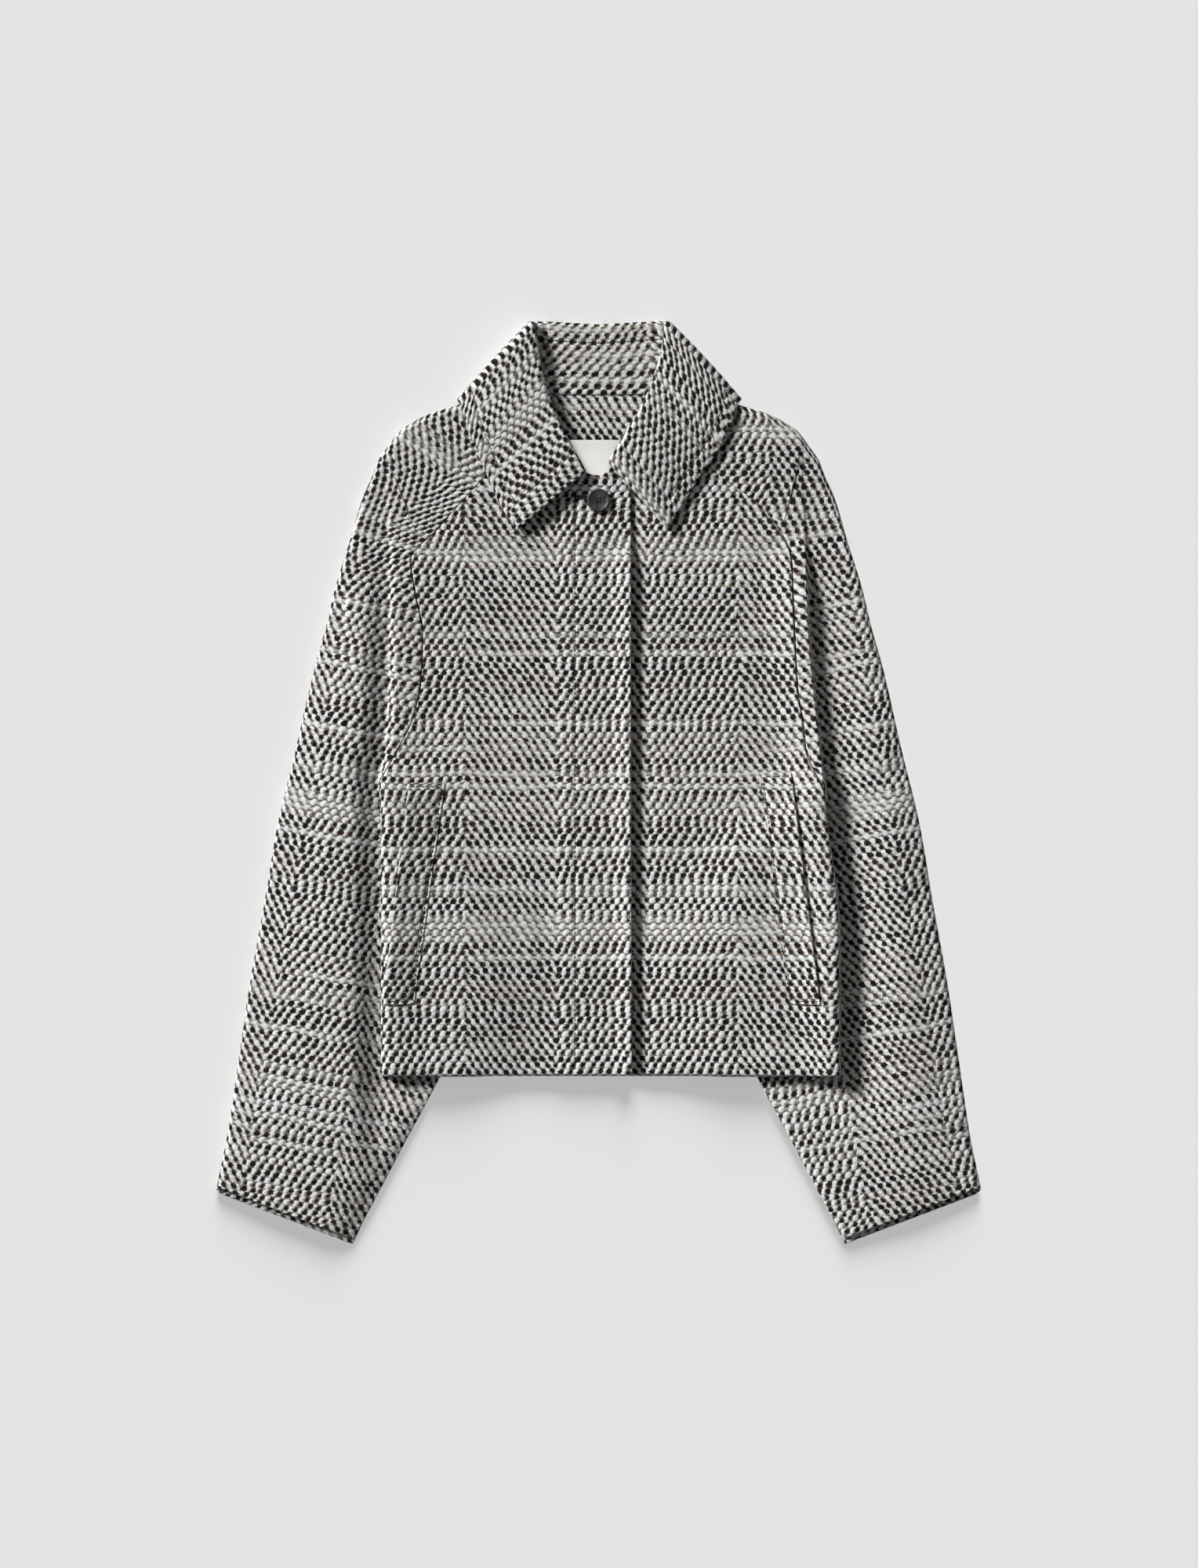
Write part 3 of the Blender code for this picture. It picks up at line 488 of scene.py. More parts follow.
def sleeve_puff(half, over, axis):
    """Fullness of a sleeve between its two folds: less at the cuff, none at the shoulder."""
    out, y = over[..., 0], over[..., 1]
    fold = np.maximum(read(half.fold, "out", y), out[:, :1])
    share = np.clip((out - fold) / np.maximum(axis[:, None, 0] - fold, 1.0), 0.0, 1.0)
    top = soft_step((PUFF_TOP_Y - y) / PUFF_TOP_FADE)
    cuff = PUFF_LEAST + (1 - PUFF_LEAST) * soft_step((y - PUFF_CUFF_Y) / PUFF_CUFF_FADE)
    rise = soft_step((out - fold - VALLEY_FLAT[half.name]) / PUFF_RISE[half.name])
    return SLEEVE_PUFF * top * cuff * rise * (1 - share**2)


def sleeve_faces(half):
    """Outer and inner face of a sleeve: neck to cuff, front edge over the outer fold to the back edge."""
    stations = np.linspace(SLEEVE_START, CUFF_STATION - SLEEVE_SHORT, SLEEVE_ROWS)
    front_y, back_y, fold_y = (read(STATIONS, name, stations) for name in ("front_y", "back_y", "fold_y"))
    above, beneath = (read(seam, "out", back_y) for seam in (BACK_SEAM, half.seam))
    back_out = np.where(back_y >= UNDERARM_Y, above, beneath)
    margin = SEAM_GAP / 2 + EDGE
    tuck = TUCK * (soft_step((front_y - UNDERARM_Y + TUCK_WAY) / TUCK_WAY) - TUCK_IN)
    below = (front_y < UNDERARM_Y) & (front_y > UNDERARM_Y - 2 * DIVE)
    side = np.where(below, read(half.side, "out", front_y) + tuck, np.inf)
    front = np.stack([np.minimum(read(half.seam, "out", front_y) + margin, side), front_y], axis=-1)
    back = np.stack([back_out + margin, back_y], axis=-1)
    fold = np.stack([read(OUTLINE, "out", fold_y), fold_y], axis=-1)
    way = (fold - front) / np.linalg.norm(fold - front, axis=-1, keepdims=True)
    axis = fold - SLEEVE_FOLD * way

    over = front[:, None] + (axis - front)[:, None] * fold_columns(half, front, axis)[..., None]
    top = sleeve_top(half, over[..., 0], over[..., 1]) + sleeve_puff(half, over, axis)
    closing = soft_step((UNDERARM_Y - DIVE - front_y) / DIVE)[:, None]
    rounding = quarter_round(np.linalg.norm(over - front[:, None], axis=-1), UNDERARM_ROUND)
    top = top + closing * (UNDERARM_SEAM_TOP - top) * (1 - rounding)
    under = axis[:, None] + (back - axis)[:, None] * np.linspace(0, 1, UNDER_COLUMNS)[:, None]
    bottom = fall_lift(under[..., 0], under[..., 1])

    angles = np.linspace(0.5, -0.5, OUTER_FOLD_COLUMNS + 2)[1:-1] * math.pi
    middle = 0.5 * (top[:, -1:] + bottom[:, :1])
    tall = 0.5 * (top[:, -1:] - bottom[:, :1])
    step = np.concatenate([np.zeros(over.shape[1]), 0.5 - 0.5 * np.sin(angles), np.ones(under.shape[1])])
    last = soft_step(stations - CUFF_STATION + 1)
    shift = CUFF_STEP * last[:, None, None] * step[:, None] * np.array(CUFF_STEP_WAY)
    faces = []
    for inset in (0.0, WALL):
        turn = axis[:, None] + (SLEEVE_FOLD - inset) * np.cos(angles)[:, None] * way[:, None]
        place = np.concatenate([over, turn, under], axis=1) + shift
        turn_height = middle + (tall - inset) * np.sin(angles)
        height = np.concatenate([top - inset, turn_height, bottom + inset], axis=1)
        faces.append(points(half.sign * place[..., 0], place[..., 1], height))
    return faces


def collar_half(half, rows):
    """Convex and concave face of half the collar: front end to centre back, stand to outer edge."""
    column = {name: read(half.collar, name, rows) for name in half.collar}
    lines = ("stand", "tip", "edge")
    stand, tip, edge = (pairs(column[f"{line}_out"], column[f"{line}_y"]) for line in lines)
    turn = np.radians(column["turn"])
    way = (edge - tip) / np.linalg.norm(edge - tip, axis=-1, keepdims=True)
    square = np.stack([-way[:, 1], way[:, 0]], axis=-1)
    outward = points(np.sin(turn) * square[:, 0], np.sin(turn) * square[:, 1], np.cos(turn))
    axis = tip + COLLAR_FOLD_DEPTH * way
    edge = edge - EDGE * way + SHOULDER_ROLL * np.sin(turn)[:, None] * square

    on_front = 0.5 + 0.5 * np.cos(turn)
    lap = stand - way * STAND_LAP[:, None, None]
    seat = coat_top(half, lap[..., 0], lap[..., 1]).max(axis=0) + SEAM_GAP
    back_seat = back_underside(half.sign * stand[:, 0], stand[:, 1]) + WALL + SEAM_GAP + STAND_RAISE
    point_gap = LAYER_GAP + LEAF_EDGE_GAP * soft_step(5 - rows) + LEAF_POINT_GAP * soft_step(1 - rows)
    leaf_seat = coat_top(half, *edge.T) + point_gap
    stand_z = 0.5 * WALL + back_seat + on_front * (seat - back_seat)
    axis_z = COLLAR_FOLD_HALF + on_front * seat
    edge_z = 0.5 * WALL + on_front * leaf_seat

    stand = points(stand[:, 0], stand[:, 1], stand_z)[:, None]
    axis = points(axis[:, 0], axis[:, 1], axis_z)[:, None]
    edge = points(edge[:, 0], edge[:, 1], edge_z)[:, None]
    tipward = points(-way[:, 0], -way[:, 1], 0.0)[:, None]
    outward = outward[:, None]
    stand_parts = np.linspace(0, 1, STAND_COLUMNS + 1)[:-1, None]
    fall_parts = np.linspace(0, 1, FALL_COLUMNS + 1)[1:, None]
    angles = np.linspace(-0.5, 0.5, COLLAR_FOLD_COLUMNS)[:, None] * math.pi
    bow = LEAF_BOW * on_front[:, None, None] * np.sin(math.pi * fall_parts)
    faces = []
    for inset in (0.0, WALL):
        tall, deep, level = COLLAR_FOLD_HALF - inset, COLLAR_FOLD_DEPTH - inset, 0.5 * WALL - inset
        start, low = stand - level * outward, axis - tall * outward
        high, end = axis + tall * outward, edge + level * outward
        face = np.concatenate(
            [
                start + (low - start) * stand_parts,
                axis + deep * np.cos(angles) * tipward + tall * np.sin(angles) * outward,
                high + (end - high) * fall_parts + bow * outward,
            ],
            axis=1,
        )
        faces.append(face * (half.sign, 1, 1))
    return faces


def collar_faces():
    """Outer and inner face of the whole collar, from the left leaf round the back to the right one."""
    stretches = [np.linspace(start, end, count, endpoint=False) for start, end, count in COLLAR_STRETCHES]
    rows = np.concatenate([*stretches, [COLLAR_STRETCHES[-1][1]]])
    rows = np.unique(np.maximum(rows, COLLAR_FIRST_ROW))
    halves = zip(collar_half(LEFT, rows), collar_half(RIGHT, rows))
    return [np.concatenate([left, right[-2::-1]]) for left, right in halves]


def welt_faces(half):
    """Outer and inner face of a pocket welt: lower end to upper end, outer edge to inner edge."""
    edge = WELT_THICKNESS / 2
    y = np.arange(half.welt["y"][0] + edge, half.welt["y"][-1] - edge, WELT_FINE)
    outer_edge = read(half.welt, "outer", y) - edge
    inner_edge = read(half.welt, "inner", y) + edge
    out = between(outer_edge, inner_edge, WELT_COLUMNS)
    mouth = soft_step(1 - (outer_edge[:, None] - out) / WELT_MOUTH_WIDTH)
    ends = soft_step((y - y[0]) / WELT_END) * soft_step((y[-1] - y) / WELT_END)
    seat = front_top(half, out, y[:, None]) + SEAM_GAP
    share = (out - inner_edge[:, None]) / (outer_edge - inner_edge)[:, None]
    thick = WELT_SEWN + (WELT_THICKNESS - WELT_SEWN) * soft_step(2 * share)
    top = seat + thick + WELT_MOUTH_LIFT * mouth * ends[:, None]
    return points(half.sign * out, y[:, None], top), points(half.sign * out, y[:, None], seat)


def label_faces():
    """Outer and inner face of the label, on the inner face of the back."""
    edge = LABEL_THICKNESS / 2
    y = np.linspace(LABEL_BOTTOM_Y + edge, LABEL_TOP_Y - edge, LABEL_ROWS)[:, None]
    x = np.linspace(LABEL_LEFT_X + edge, LABEL_RIGHT_X - edge, LABEL_COLUMNS)
    inner = points(x, y, back_underside(x, y) + WALL + SEAM_GAP)
    return raised(inner, LABEL_THICKNESS), inner


# Places on the flat cloth

def run_along(grid, axis):
    """Distance along the rows or columns of a grid, from their start."""
    steps = np.linalg.norm(np.diff(grid, axis=axis), axis=-1)
    first = np.zeros_like(np.take(steps, [0], axis=axis))
    return np.cumsum(np.concatenate([first, steps], axis=axis), axis=axis)


def slack(grid, anchor):
    """Length that a face has across its rows beyond what shows from above, counted from a column."""
    extra = run_along(grid, 1) - run_along(grid[..., :2], 1)
    return extra - extra[:, anchor][:, None]


def flat_cloth(grid, shift=0.0):
    """Cloth of a panel that lies flat, with its rows level, counted from an edge of its herringbone."""
    way = np.sign(grid[:, -1:, 0] - grid[:, :1, 0])
    return pairs(grid[..., 0] + way * slack(grid, -1) - shift, grid[..., 1])


def sleeve_cloth(half, grid):
    """Cloth of a sleeve: its grain runs down the arm, and turns at the shoulder."""
    over = sum(FOLD_COLUMNS) - 1
    out = half.sign * grid[..., 0] + slack(grid, over) - SLEEVE_PIVOT[0]
    y = grid[..., 1] - SLEEVE_PIVOT[1]
    shoulder = soft_step((grid[..., 1] - SHOULDER_START) / SHOULDER_WAY)
    turn = np.radians(SLEEVE_TILT + SHOULDER_TURN[half.name] * shoulder)
    u = out * np.cos(turn) + y * np.sin(turn)
    v = y * np.cos(turn) - out * np.sin(turn)
    across = run_along(grid, 1)
    u[:, over:] = u[:, over : over + 1] + across[:, over:] - across[:, over : over + 1]
    return pairs(half.sign * u, v)


def collar_cloth(grid):
    """Cloth of the stand, with level rows, and of the fall, with rows across it."""
    across = run_along(grid, 1)
    across = across - across[:, COLLAR_TURN : COLLAR_TURN + 1]
    along = run_along(grid[:, COLLAR_TURN], 0)
    along = along - along[len(along) // 2]
    return pairs(along[:, None] + NECK_STRIPE, -across), pairs(across, along[:, None])


def welt_cloth(grid):
    """Cloth of a welt, cut along its slant, within one stripe of the herringbone."""
    return pairs(run_along(grid, 1) + WELT_STRIPE, grid[..., 1])


def weave_relief(cloth):
    """Pits at the dark dots of the weave and puffs between them, in step with the material."""
    row = np.floor(cloth[..., 1] / ROW_PITCH)
    place = cloth[..., 0] / DOT_PITCH + 0.5 * (row % 2)
    across = (place - np.floor(place) - 0.5) * DOT_PITCH
    along = (cloth[..., 1] / ROW_PITCH - row - 0.5) * ROW_PITCH
    pit = np.exp(-(across**2 + along**2) / (2 * PIT**2))
    return RELIEF * (RELIEF_PUFF - pit)


# Meshes

def rim_of(rows, columns):
    """Border of a grid, once round, with the cell inside each place."""
    border = [(0, j) for j in range(columns)] + [(i, columns - 1) for i in range(1, rows)]
    border += [(rows - 1, j) for j in range(columns - 2, -1, -1)] + [(i, 0) for i in range(rows - 2, 0, -1)]
    border = np.array(border)
    inside = np.clip(border, 1, (rows - 2, columns - 2))
    return border, inside


def unit(vectors):
    """The same directions with length 1."""
    return vectors / np.maximum(np.linalg.norm(vectors, axis=-1, keepdims=True), 1e-9)


def quads_of(ids):
    """Faces between neighbouring places of a grid of vertex numbers."""
    corners = (ids[:-1, :-1], ids[:-1, 1:], ids[1:, 1:], ids[1:, :-1])
    return np.stack(corners, axis=-1).reshape(-1, 4)


def fan(ring, marks, coarse):
    """Triangles between a fine ring and the coarse border inside it, which meet at the marks."""
    faces = []
    count = len(ring)
    for k, start in enumerate(marks):
        end = marks[(k + 1) % len(marks)]
        end = end if end > start else end + count
        near, far = coarse[k], coarse[(k + 1) % len(marks)]
        middle = (start + end) // 2
        for p in range(start, end):
            faces.append((ring[p % count], ring[(p + 1) % count], near if p < middle else far))
        faces.append((ring[middle % count], far, near))
    return faces


def press(outer, normal, paths):
    """Sinks a face along the paths of its topstitching."""
    for path in paths:
        nearest = np.full(outer.shape[:2], np.inf)
        for start, end in zip(path, path[1:]):
            run = end - start
            part = np.clip(((outer - start) @ run) / (run @ run), 0.0, 1.0)
            nearest = np.minimum(nearest, np.linalg.norm(outer - start - part[..., None] * run, axis=-1))
        outer = outer - normal * (GROOVE * np.exp(-((nearest / GROOVE_WIDTH) ** 2)))[..., None]
    return outer


def shell(name, faces, cloth, material, turn=None, relief=1.0, seams=(), coarse=COARSE):
    """A closed shell of cloth: a fine outer face, a round rim, and a coarser inner face."""
    outer, inner = faces
    cloth, second = cloth if turn else (cloth, cloth)
    rows, columns = outer.shape[:2]
    half = 0.5 * (outer - inner)
    normal = unit(half)
    after = np.broadcast_to(np.arange(columns) >= (turn or columns), (rows, columns))
    weave = np.where(after[..., None], second, cloth)
    border, inside = rim_of(rows, columns)
    at, within = tuple(border.T), tuple(inside.T)
    outward = outer[at] - outer[within]
    outward = unit(outward - np.sum(outward * normal[at], axis=-1, keepdims=True) * normal[at])
    thick = np.linalg.norm(half[at], axis=-1, keepdims=True)
    middle = outer[at] - half[at]
    outer = press(outer + normal * (relief * weave_relief(weave))[..., None], normal, seams)

    ids = np.arange(rows * columns).reshape(rows, columns)
    places, afters = [outer.reshape(-1, 3)], [after.ravel()]
    cloths, seconds = [cloth.reshape(-1, 2)], [second.reshape(-1, 2)]
    rings = [ids[at]]
    total = rows * columns
    bulge = outward * np.minimum(RIM * thick, EDGE)
    for angle in RIM_ANGLES:
        places.append(middle + half[at] * math.cos(angle) + bulge * math.sin(angle))
        for store, flat in ((cloths, cloth), (seconds, second)):
            store.append(flat[at] + unit(flat[at] - flat[within]) * thick * angle)
        afters.append(after[at])
        rings.append(total + np.arange(len(border)))
        total += len(border)
    some_rows = np.unique(np.append(np.arange(0, rows, coarse), rows - 1))
    some_columns = np.unique(np.append(np.arange(0, columns, coarse), columns - 1))
    pick = np.ix_(some_rows, some_columns)
    places.append(inner[pick].reshape(-1, 3))
    cloths.append(cloth[pick].reshape(-1, 2))
    seconds.append(second[pick].reshape(-1, 2))
    afters.append(after[pick].ravel())
    inner_ids = total + np.arange(len(places[-1])).reshape(len(some_rows), len(some_columns))

    quads = [quads_of(ids)]
    for low, high in zip(rings, rings[1:]):
        quads.append(np.stack([np.roll(low, -1), low, high, np.roll(high, -1)], axis=-1))
    quads.append(quads_of(inner_ids)[:, ::-1])
    row_place = {row: k for k, row in enumerate(some_rows)}
    column_place = {column: k for k, column in enumerate(some_columns)}
    marks = [p for p, (i, j) in enumerate(border) if i in row_place and j in column_place]
    coarse_ids = [inner_ids[row_place[border[p][0]], column_place[border[p][1]]] for p in marks]
    triangles = np.array(fan(rings[-1], marks, coarse_ids))[:, ::-1]
    made = mesh_object(
        name, np.concatenate(places), np.concatenate(quads), triangles,
        np.concatenate(cloths), np.concatenate(seconds), np.concatenate(afters),
    )
    made.data.materials.append(material)
    return made


def mesh_object(name, places, quads, triangles, cloth, second, after):
    """An object from points, faces and the place of each point on the flat cloth."""
    loops = np.concatenate([quads.ravel(), triangles.ravel()])
    starts = np.concatenate([np.arange(len(quads)) * 4, len(quads) * 4 + np.arange(len(triangles)) * 3])
    turned = np.concatenate(
        [np.repeat(after[quads].all(axis=1), 4), np.repeat(after[triangles].all(axis=1), 3)]
    )
    data = bpy.data.meshes.new(name)
    data.vertices.add(len(places))
    data.vertices.foreach_set("co", (places * MM).astype(np.float32).ravel())
    data.loops.add(len(loops))
    data.loops.foreach_set("vertex_index", loops.astype(np.int32))
    data.polygons.add(len(starts))
    data.polygons.foreach_set("loop_start", starts.astype(np.int32))
    data.update(calc_edges=True)
    layer = data.uv_layers.new(name="cloth")
    uv = np.where(turned[:, None], second[loops], cloth[loops]) * MM
    layer.data.foreach_set("uv", uv.astype(np.float32).ravel())
    data.validate()
    face_out(data)
    data.shade_smooth()
    made = bpy.data.objects.new(name, data)
    bpy.context.scene.collection.objects.link(made)
    return made


def face_out(data):
    """Turns a closed mesh's faces outward."""
    mesh = bmesh.new()
    mesh.from_mesh(data)
    if mesh.calc_volume(signed=True) < 0:
        bmesh.ops.reverse_faces(mesh, faces=mesh.faces)
        mesh.to_mesh(data)
    mesh.free()


# Materials

class Field:
    """A value in a material's nodes that takes part in sums like a number."""

    def __init__(self, socket):
        self.socket = socket

    def math(self, operation, *others):
        made = add_node(self.socket.id_data, "Math", dict(enumerate((self, *others))), operation=operation)
        return Field(made.outputs[0])

    def __add__(self, other):
        return self.math("ADD", other)

    def __sub__(self, other):
        return self.math("SUBTRACT", other)

    def __mul__(self, other):
        return self.math("MULTIPLY", other)

    def __truediv__(self, other):
        return self.math("DIVIDE", other)

    def floor(self):
        return self.math("FLOOR")

    def fraction(self):
        return self.math("FRACT")

    def modulo(self, other):
        return self.math("FLOORED_MODULO", other)

    def size(self):
        return self.math("ABSOLUTE")

    def step(self, low, high):
        """A smooth step from 0 at low to 1 at high, either way round."""
        inputs = {"Value": self, "From Min": low, "From Max": high}
        made = add_node(self.socket.id_data, "MapRange", inputs, interpolation_type="SMOOTHSTEP")
        return Field(made.outputs[0])


def feed(slot, value):
    """Links a field to a node's input, or sets the input to a number."""
    if isinstance(value, Field):
        slot.id_data.links.new(value.socket, slot)
    else:
        slot.default_value = value


def add_node(tree, kind, inputs=(), **settings):
    """A shader node with its settings and inputs."""
    made = tree.nodes.new("ShaderNode" + kind)
    for name, value in settings.items():
        setattr(made, name, value)
    for slot, value in dict(inputs).items():
        feed(made.inputs[slot], value)
    return made


def length(a, b):
    """Length of a plane vector."""
    return (a * a + b * b).math("SQRT")


def vector(tree, x, y):
    """Two fields as a vector."""
    return Field(add_node(tree, "CombineXYZ", {0: x, 1: y}).outputs[0])


def channels(tree, colour):
    """The three parts of a colour."""
    return [Field(part) for part in add_node(tree, "SeparateColor", {0: colour}).outputs]


def chance(tree, x, y):
    """Three random numbers for each pair of whole numbers."""
    made = add_node(tree, "TexWhiteNoise", {"Vector": vector(tree, x, y)}, noise_dimensions="2D")
    return channels(tree, Field(made.outputs["Color"]))


def cloud(tree, place, scale, detail=0.0):
    """Three soft noises over a place."""
    inputs = {"Vector": place, "Scale": scale, "Detail": detail}
    made = add_node(tree, "TexNoise", inputs, noise_dimensions="2D")
    return channels(tree, Field(made.outputs["Color"]))


def mix(tree, share, below, above):
    """One colour over another."""
    made = add_node(tree, "Mix", {0: share, 6: below, 7: above}, data_type="RGBA")
    return Field(made.outputs[2])


def new_material(name, roughness, specular, sheen):
    """A Principled material, with the values that are the same all over."""
    made = bpy.data.materials.new(name)
    made.use_nodes = True
    shader = made.node_tree.nodes["Principled BSDF"]
    shader.inputs["Roughness"].default_value = roughness
    shader.inputs["Specular IOR Level"].default_value = specular
    shader.inputs["Sheen Weight"].default_value = sheen
    return made, made.node_tree, shader


def bump(tree, shader, height, distance):
    """Gives a shader the relief of a field, with its depth in millimetres."""
    made = add_node(tree, "Bump", {"Height": height, "Distance": distance * MM, "Strength": 1.0})
    feed(shader.inputs["Normal"], Field(made.outputs[0]))


def cloth_place(tree):
    """Place on the flat cloth, in millimetres."""
    place = add_node(tree, "UVMap", uv_map="cloth")
    parts = add_node(tree, "SeparateXYZ", {0: Field(place.outputs[0])})
    return Field(parts.outputs[0]) / MM, Field(parts.outputs[1]) / MM


# Tweed: how far the yarns stray over the cloth, at their own edges and at the edges of the stripes
DRIFT, FRAY_U, FRAY_V, STRIPE_FRAY = 3.0, 0.8, 1.0, 9.0
DRIFT_SCALE, FRAY_SCALE, FIBRE_SCALE, STREAK_LENGTH = 0.035, 0.8, 1.1, 80.0
# Dark dots: how far they stray, their frayed edge, their least radius, and what chance and the row add
DOT_STRAY_U, DOT_STRAY_V, DOT_FRAY = 1.8, 1.4, 2.4
DOT_LEAST, DOT_CHANCE, DOT_PLENTY = 0.6, 0.7, 1.05
# White puffs: half width, half height and frayed edge
PUFF_U, PUFF_V, PUFF_FRAY = 2.6, 2.9, 0.7
# Depth of the relief in the materials
TWEED_BUMP, THREAD_BUMP, SATIN_BUMP, BUTTON_BUMP = 0.45, 0.1, 0.05, 0.06


def tweed_material():
    """Thick herringbone tweed: white puffs with painted shade round them, dark dots on a staggered lattice,
    taupe beside some of them.
    """
    made, tree, shader = new_material("tweed", roughness=0.95, specular=0.08, sheen=0.03)
    across, along = cloth_place(tree)
    place = vector(tree, across, along)

    # How the yarns stray, and which way the twill leans
    drift_u, drift_v, patch = cloud(tree, place, DRIFT_SCALE)
    fray, fray_two, grain = cloud(tree, place, FRAY_SCALE, 2.0)
    fibre = cloud(tree, vector(tree, across * 0.6, along * 2.0), FIBRE_SCALE, 2.0)[0]
    u = across + (drift_u - 0.5) * DRIFT + (fray_two - 0.5) * FRAY_U
    v = along + (drift_v - 0.5) * DRIFT + (fray - 0.5) * FRAY_V
    lean = ((across + (fray - 0.5) * STRIPE_FRAY) / HERRINGBONE).floor().modulo(2.0) * 2.0 - 1.0
    twill = (lean + 1.0) * 0.5

    # Rows, and the cell of the lattice in each row
    row = (v / ROW_PITCH).floor()
    row_v = ((v / ROW_PITCH).fraction() - 0.5) * ROW_PITCH
    row_chance, row_taupe, row_shift = chance(tree, row, row * 0.0 + 7.0)
    streak, taupe_streak, _ = cloud(tree, vector(tree, across / STREAK_LENGTH, row * 5.37), 1.0, 1.0)
    stagger = u / DOT_PITCH + row.modulo(2.0) * 0.5 + (row_shift - 0.5) * (twill * -0.3 + 0.5)
    column = stagger.floor()
    column_u = (stagger.fraction() - 0.5) * DOT_PITCH
    cell_u, cell_v, cell_size = chance(tree, column, row)

    # Dark dots, larger in some rows
    dot_u = column_u + (cell_u - 0.5) * DOT_STRAY_U
    dot_v = row_v + (cell_v - 0.5) * DOT_STRAY_V
    dot = length(dot_u * 0.9 + lean * dot_v * 0.15, dot_v) + (fray - 0.5) * DOT_FRAY
    plenty = row_chance * 0.75 + streak * 0.9 + patch * 0.3 - 0.45
    radius = plenty.step(-0.05, 0.8) * DOT_PLENTY + cell_size * DOT_CHANCE + DOT_LEAST
    dark = (dot - radius).step(0.2, -0.15)

    # White puffs between the dots, plain white rows, the lines of the twill, and the masks of painted shade
    # in the twill's grooves and painted shadow between the puffs
    puff_u = ((stagger + 0.5).fraction() - 0.5) * DOT_PITCH
    puff_side = (puff_u + lean * row_v * 0.25) / PUFF_U
    puff_away = length(puff_side, row_v / PUFF_V) + (fray_two - 0.5) * PUFF_FRAY
    puff = puff_away.step(1.2, 0.65)
    dome = puff_away.step(1.3, 0.0)
    puff_light = chance(tree, (stagger + 0.5).floor(), row + 0.37)[0]
    plain_row = row_v.size().step(1.5, 0.7) * row_chance.step(0.25, 0.1) * streak.step(0.42, 0.55)
    diagonal = u / DOT_PITCH + lean * (v / (2 * ROW_PITCH) - 0.25)
    line = ((diagonal + 0.5).fraction() - 0.5).size() * (DOT_PITCH * 0.81)
    band = line.step(2.6, 0.9) * (twill * 0.55 + 0.35)
    # Painted shade in the grooves between the twill's white lines, which also sink in the relief
    groove_and_shade = line.step(0.5, 0.1) * fray_two.step(0.45, 0.6) * streak.step(0.45, 0.6) * twill
    # Painted shadow in the gaps between puffs, which also dip in the relief
    gap_and_shadow = puff_away.step(0.86, 1.04) * fray.step(0.25, 0.45) * (band * -0.6 + 1.0)

    # Taupe beside some of the dots
    taupe_much = (row_taupe * 0.5 + taupe_streak * 0.9 + cell_v * 0.3 - 0.3).step(0.25, 0.6)
    taupe_away = length((dot_u - lean * 1.3) * 0.8, (dot_v + 0.9) * 1.15) + (fray - 0.5) * 1.8
    taupe = taupe_away.step(2.7, 1.3) * taupe_much

    # Colour and relief. The white yarn greys with painted shade towards the puffs' edges, and painted
    # shadow darkens the gaps and the grooves
    body = (puff * (twill * -0.4 + 1.0) + band * 0.5) * (puff_light * 0.3 + 0.75)
    white = mix(tree, body, YARN_SHADE, YARN_WHITE)
    # painted shadow in the gaps between puffs
    colour = mix(tree, gap_and_shadow * 0.9, white, YARN_GAP_SHADOW)
    colour = mix(tree, taupe * 0.75, colour, YARN_TAUPE)
    # painted shade in the grooves of the twill
    colour = mix(tree, groove_and_shade * 0.65, colour, YARN_GAP_SHADOW)
    warm = (row_taupe * 0.6 + cell_u * 0.6).step(0.6, 1.0)
    dot_colour = mix(tree, warm, YARN_DARK, YARN_BROWN)
    colour = mix(tree, dark * (fibre.step(0.62, 0.72) * -0.6 + 1.0), colour, dot_colour)
    colour = mix(tree, plain_row * 0.6, colour, YARN_WHITE)
    feed(shader.inputs["Base Color"], colour)
    height = dome * 0.7 + band * 0.3 - dark * 0.5 - groove_and_shade * 0.2 - gap_and_shadow * 0.2 + grain * 0.12 + fibre * 0.1
    bump(tree, shader, height, TWEED_BUMP)
    return made


def thread_material():
    """Dark sewing thread with a fine twist."""
    made, tree, shader = new_material("thread", roughness=0.6, specular=0.3, sheen=0.1)
    place = add_node(tree, "TexCoord")
    twist = add_node(tree, "TexNoise", {"Vector": Field(place.outputs["Object"]), "Scale": 2500.0})
    shade = Field(twist.outputs[0]).step(0.3, 0.7)
    feed(shader.inputs["Base Color"], mix(tree, shade, THREAD_DARK, THREAD_LIGHT))
    bump(tree, shader, shade, THREAD_BUMP)
    return made


def label_material():
    """White satin with fine woven lines, and painted shade towards both sides."""
    made, tree, shader = new_material("label_satin", roughness=0.38, specular=0.45, sheen=0.1)
    across, along = cloth_place(tree)
    threads = (along * 3.1).fraction() - 0.5
    slub = cloud(tree, vector(tree, across * 0.12, along * 2.0), 1.0, 1.0)[0]
    # Painted shade: the satin darkens from its middle towards both sides
    middle = (across + 3.0).size().step(34.0, 4.0)
    plain = mix(tree, middle, SATIN_SIDE_SHADE, SATIN_MIDDLE)
    shade = threads.size() * 0.12 + slub * 0.15
    feed(shader.inputs["Base Color"], mix(tree, shade, plain, SATIN_LINE))
    bump(tree, shader, threads.size() + slub, SATIN_BUMP)
    return made


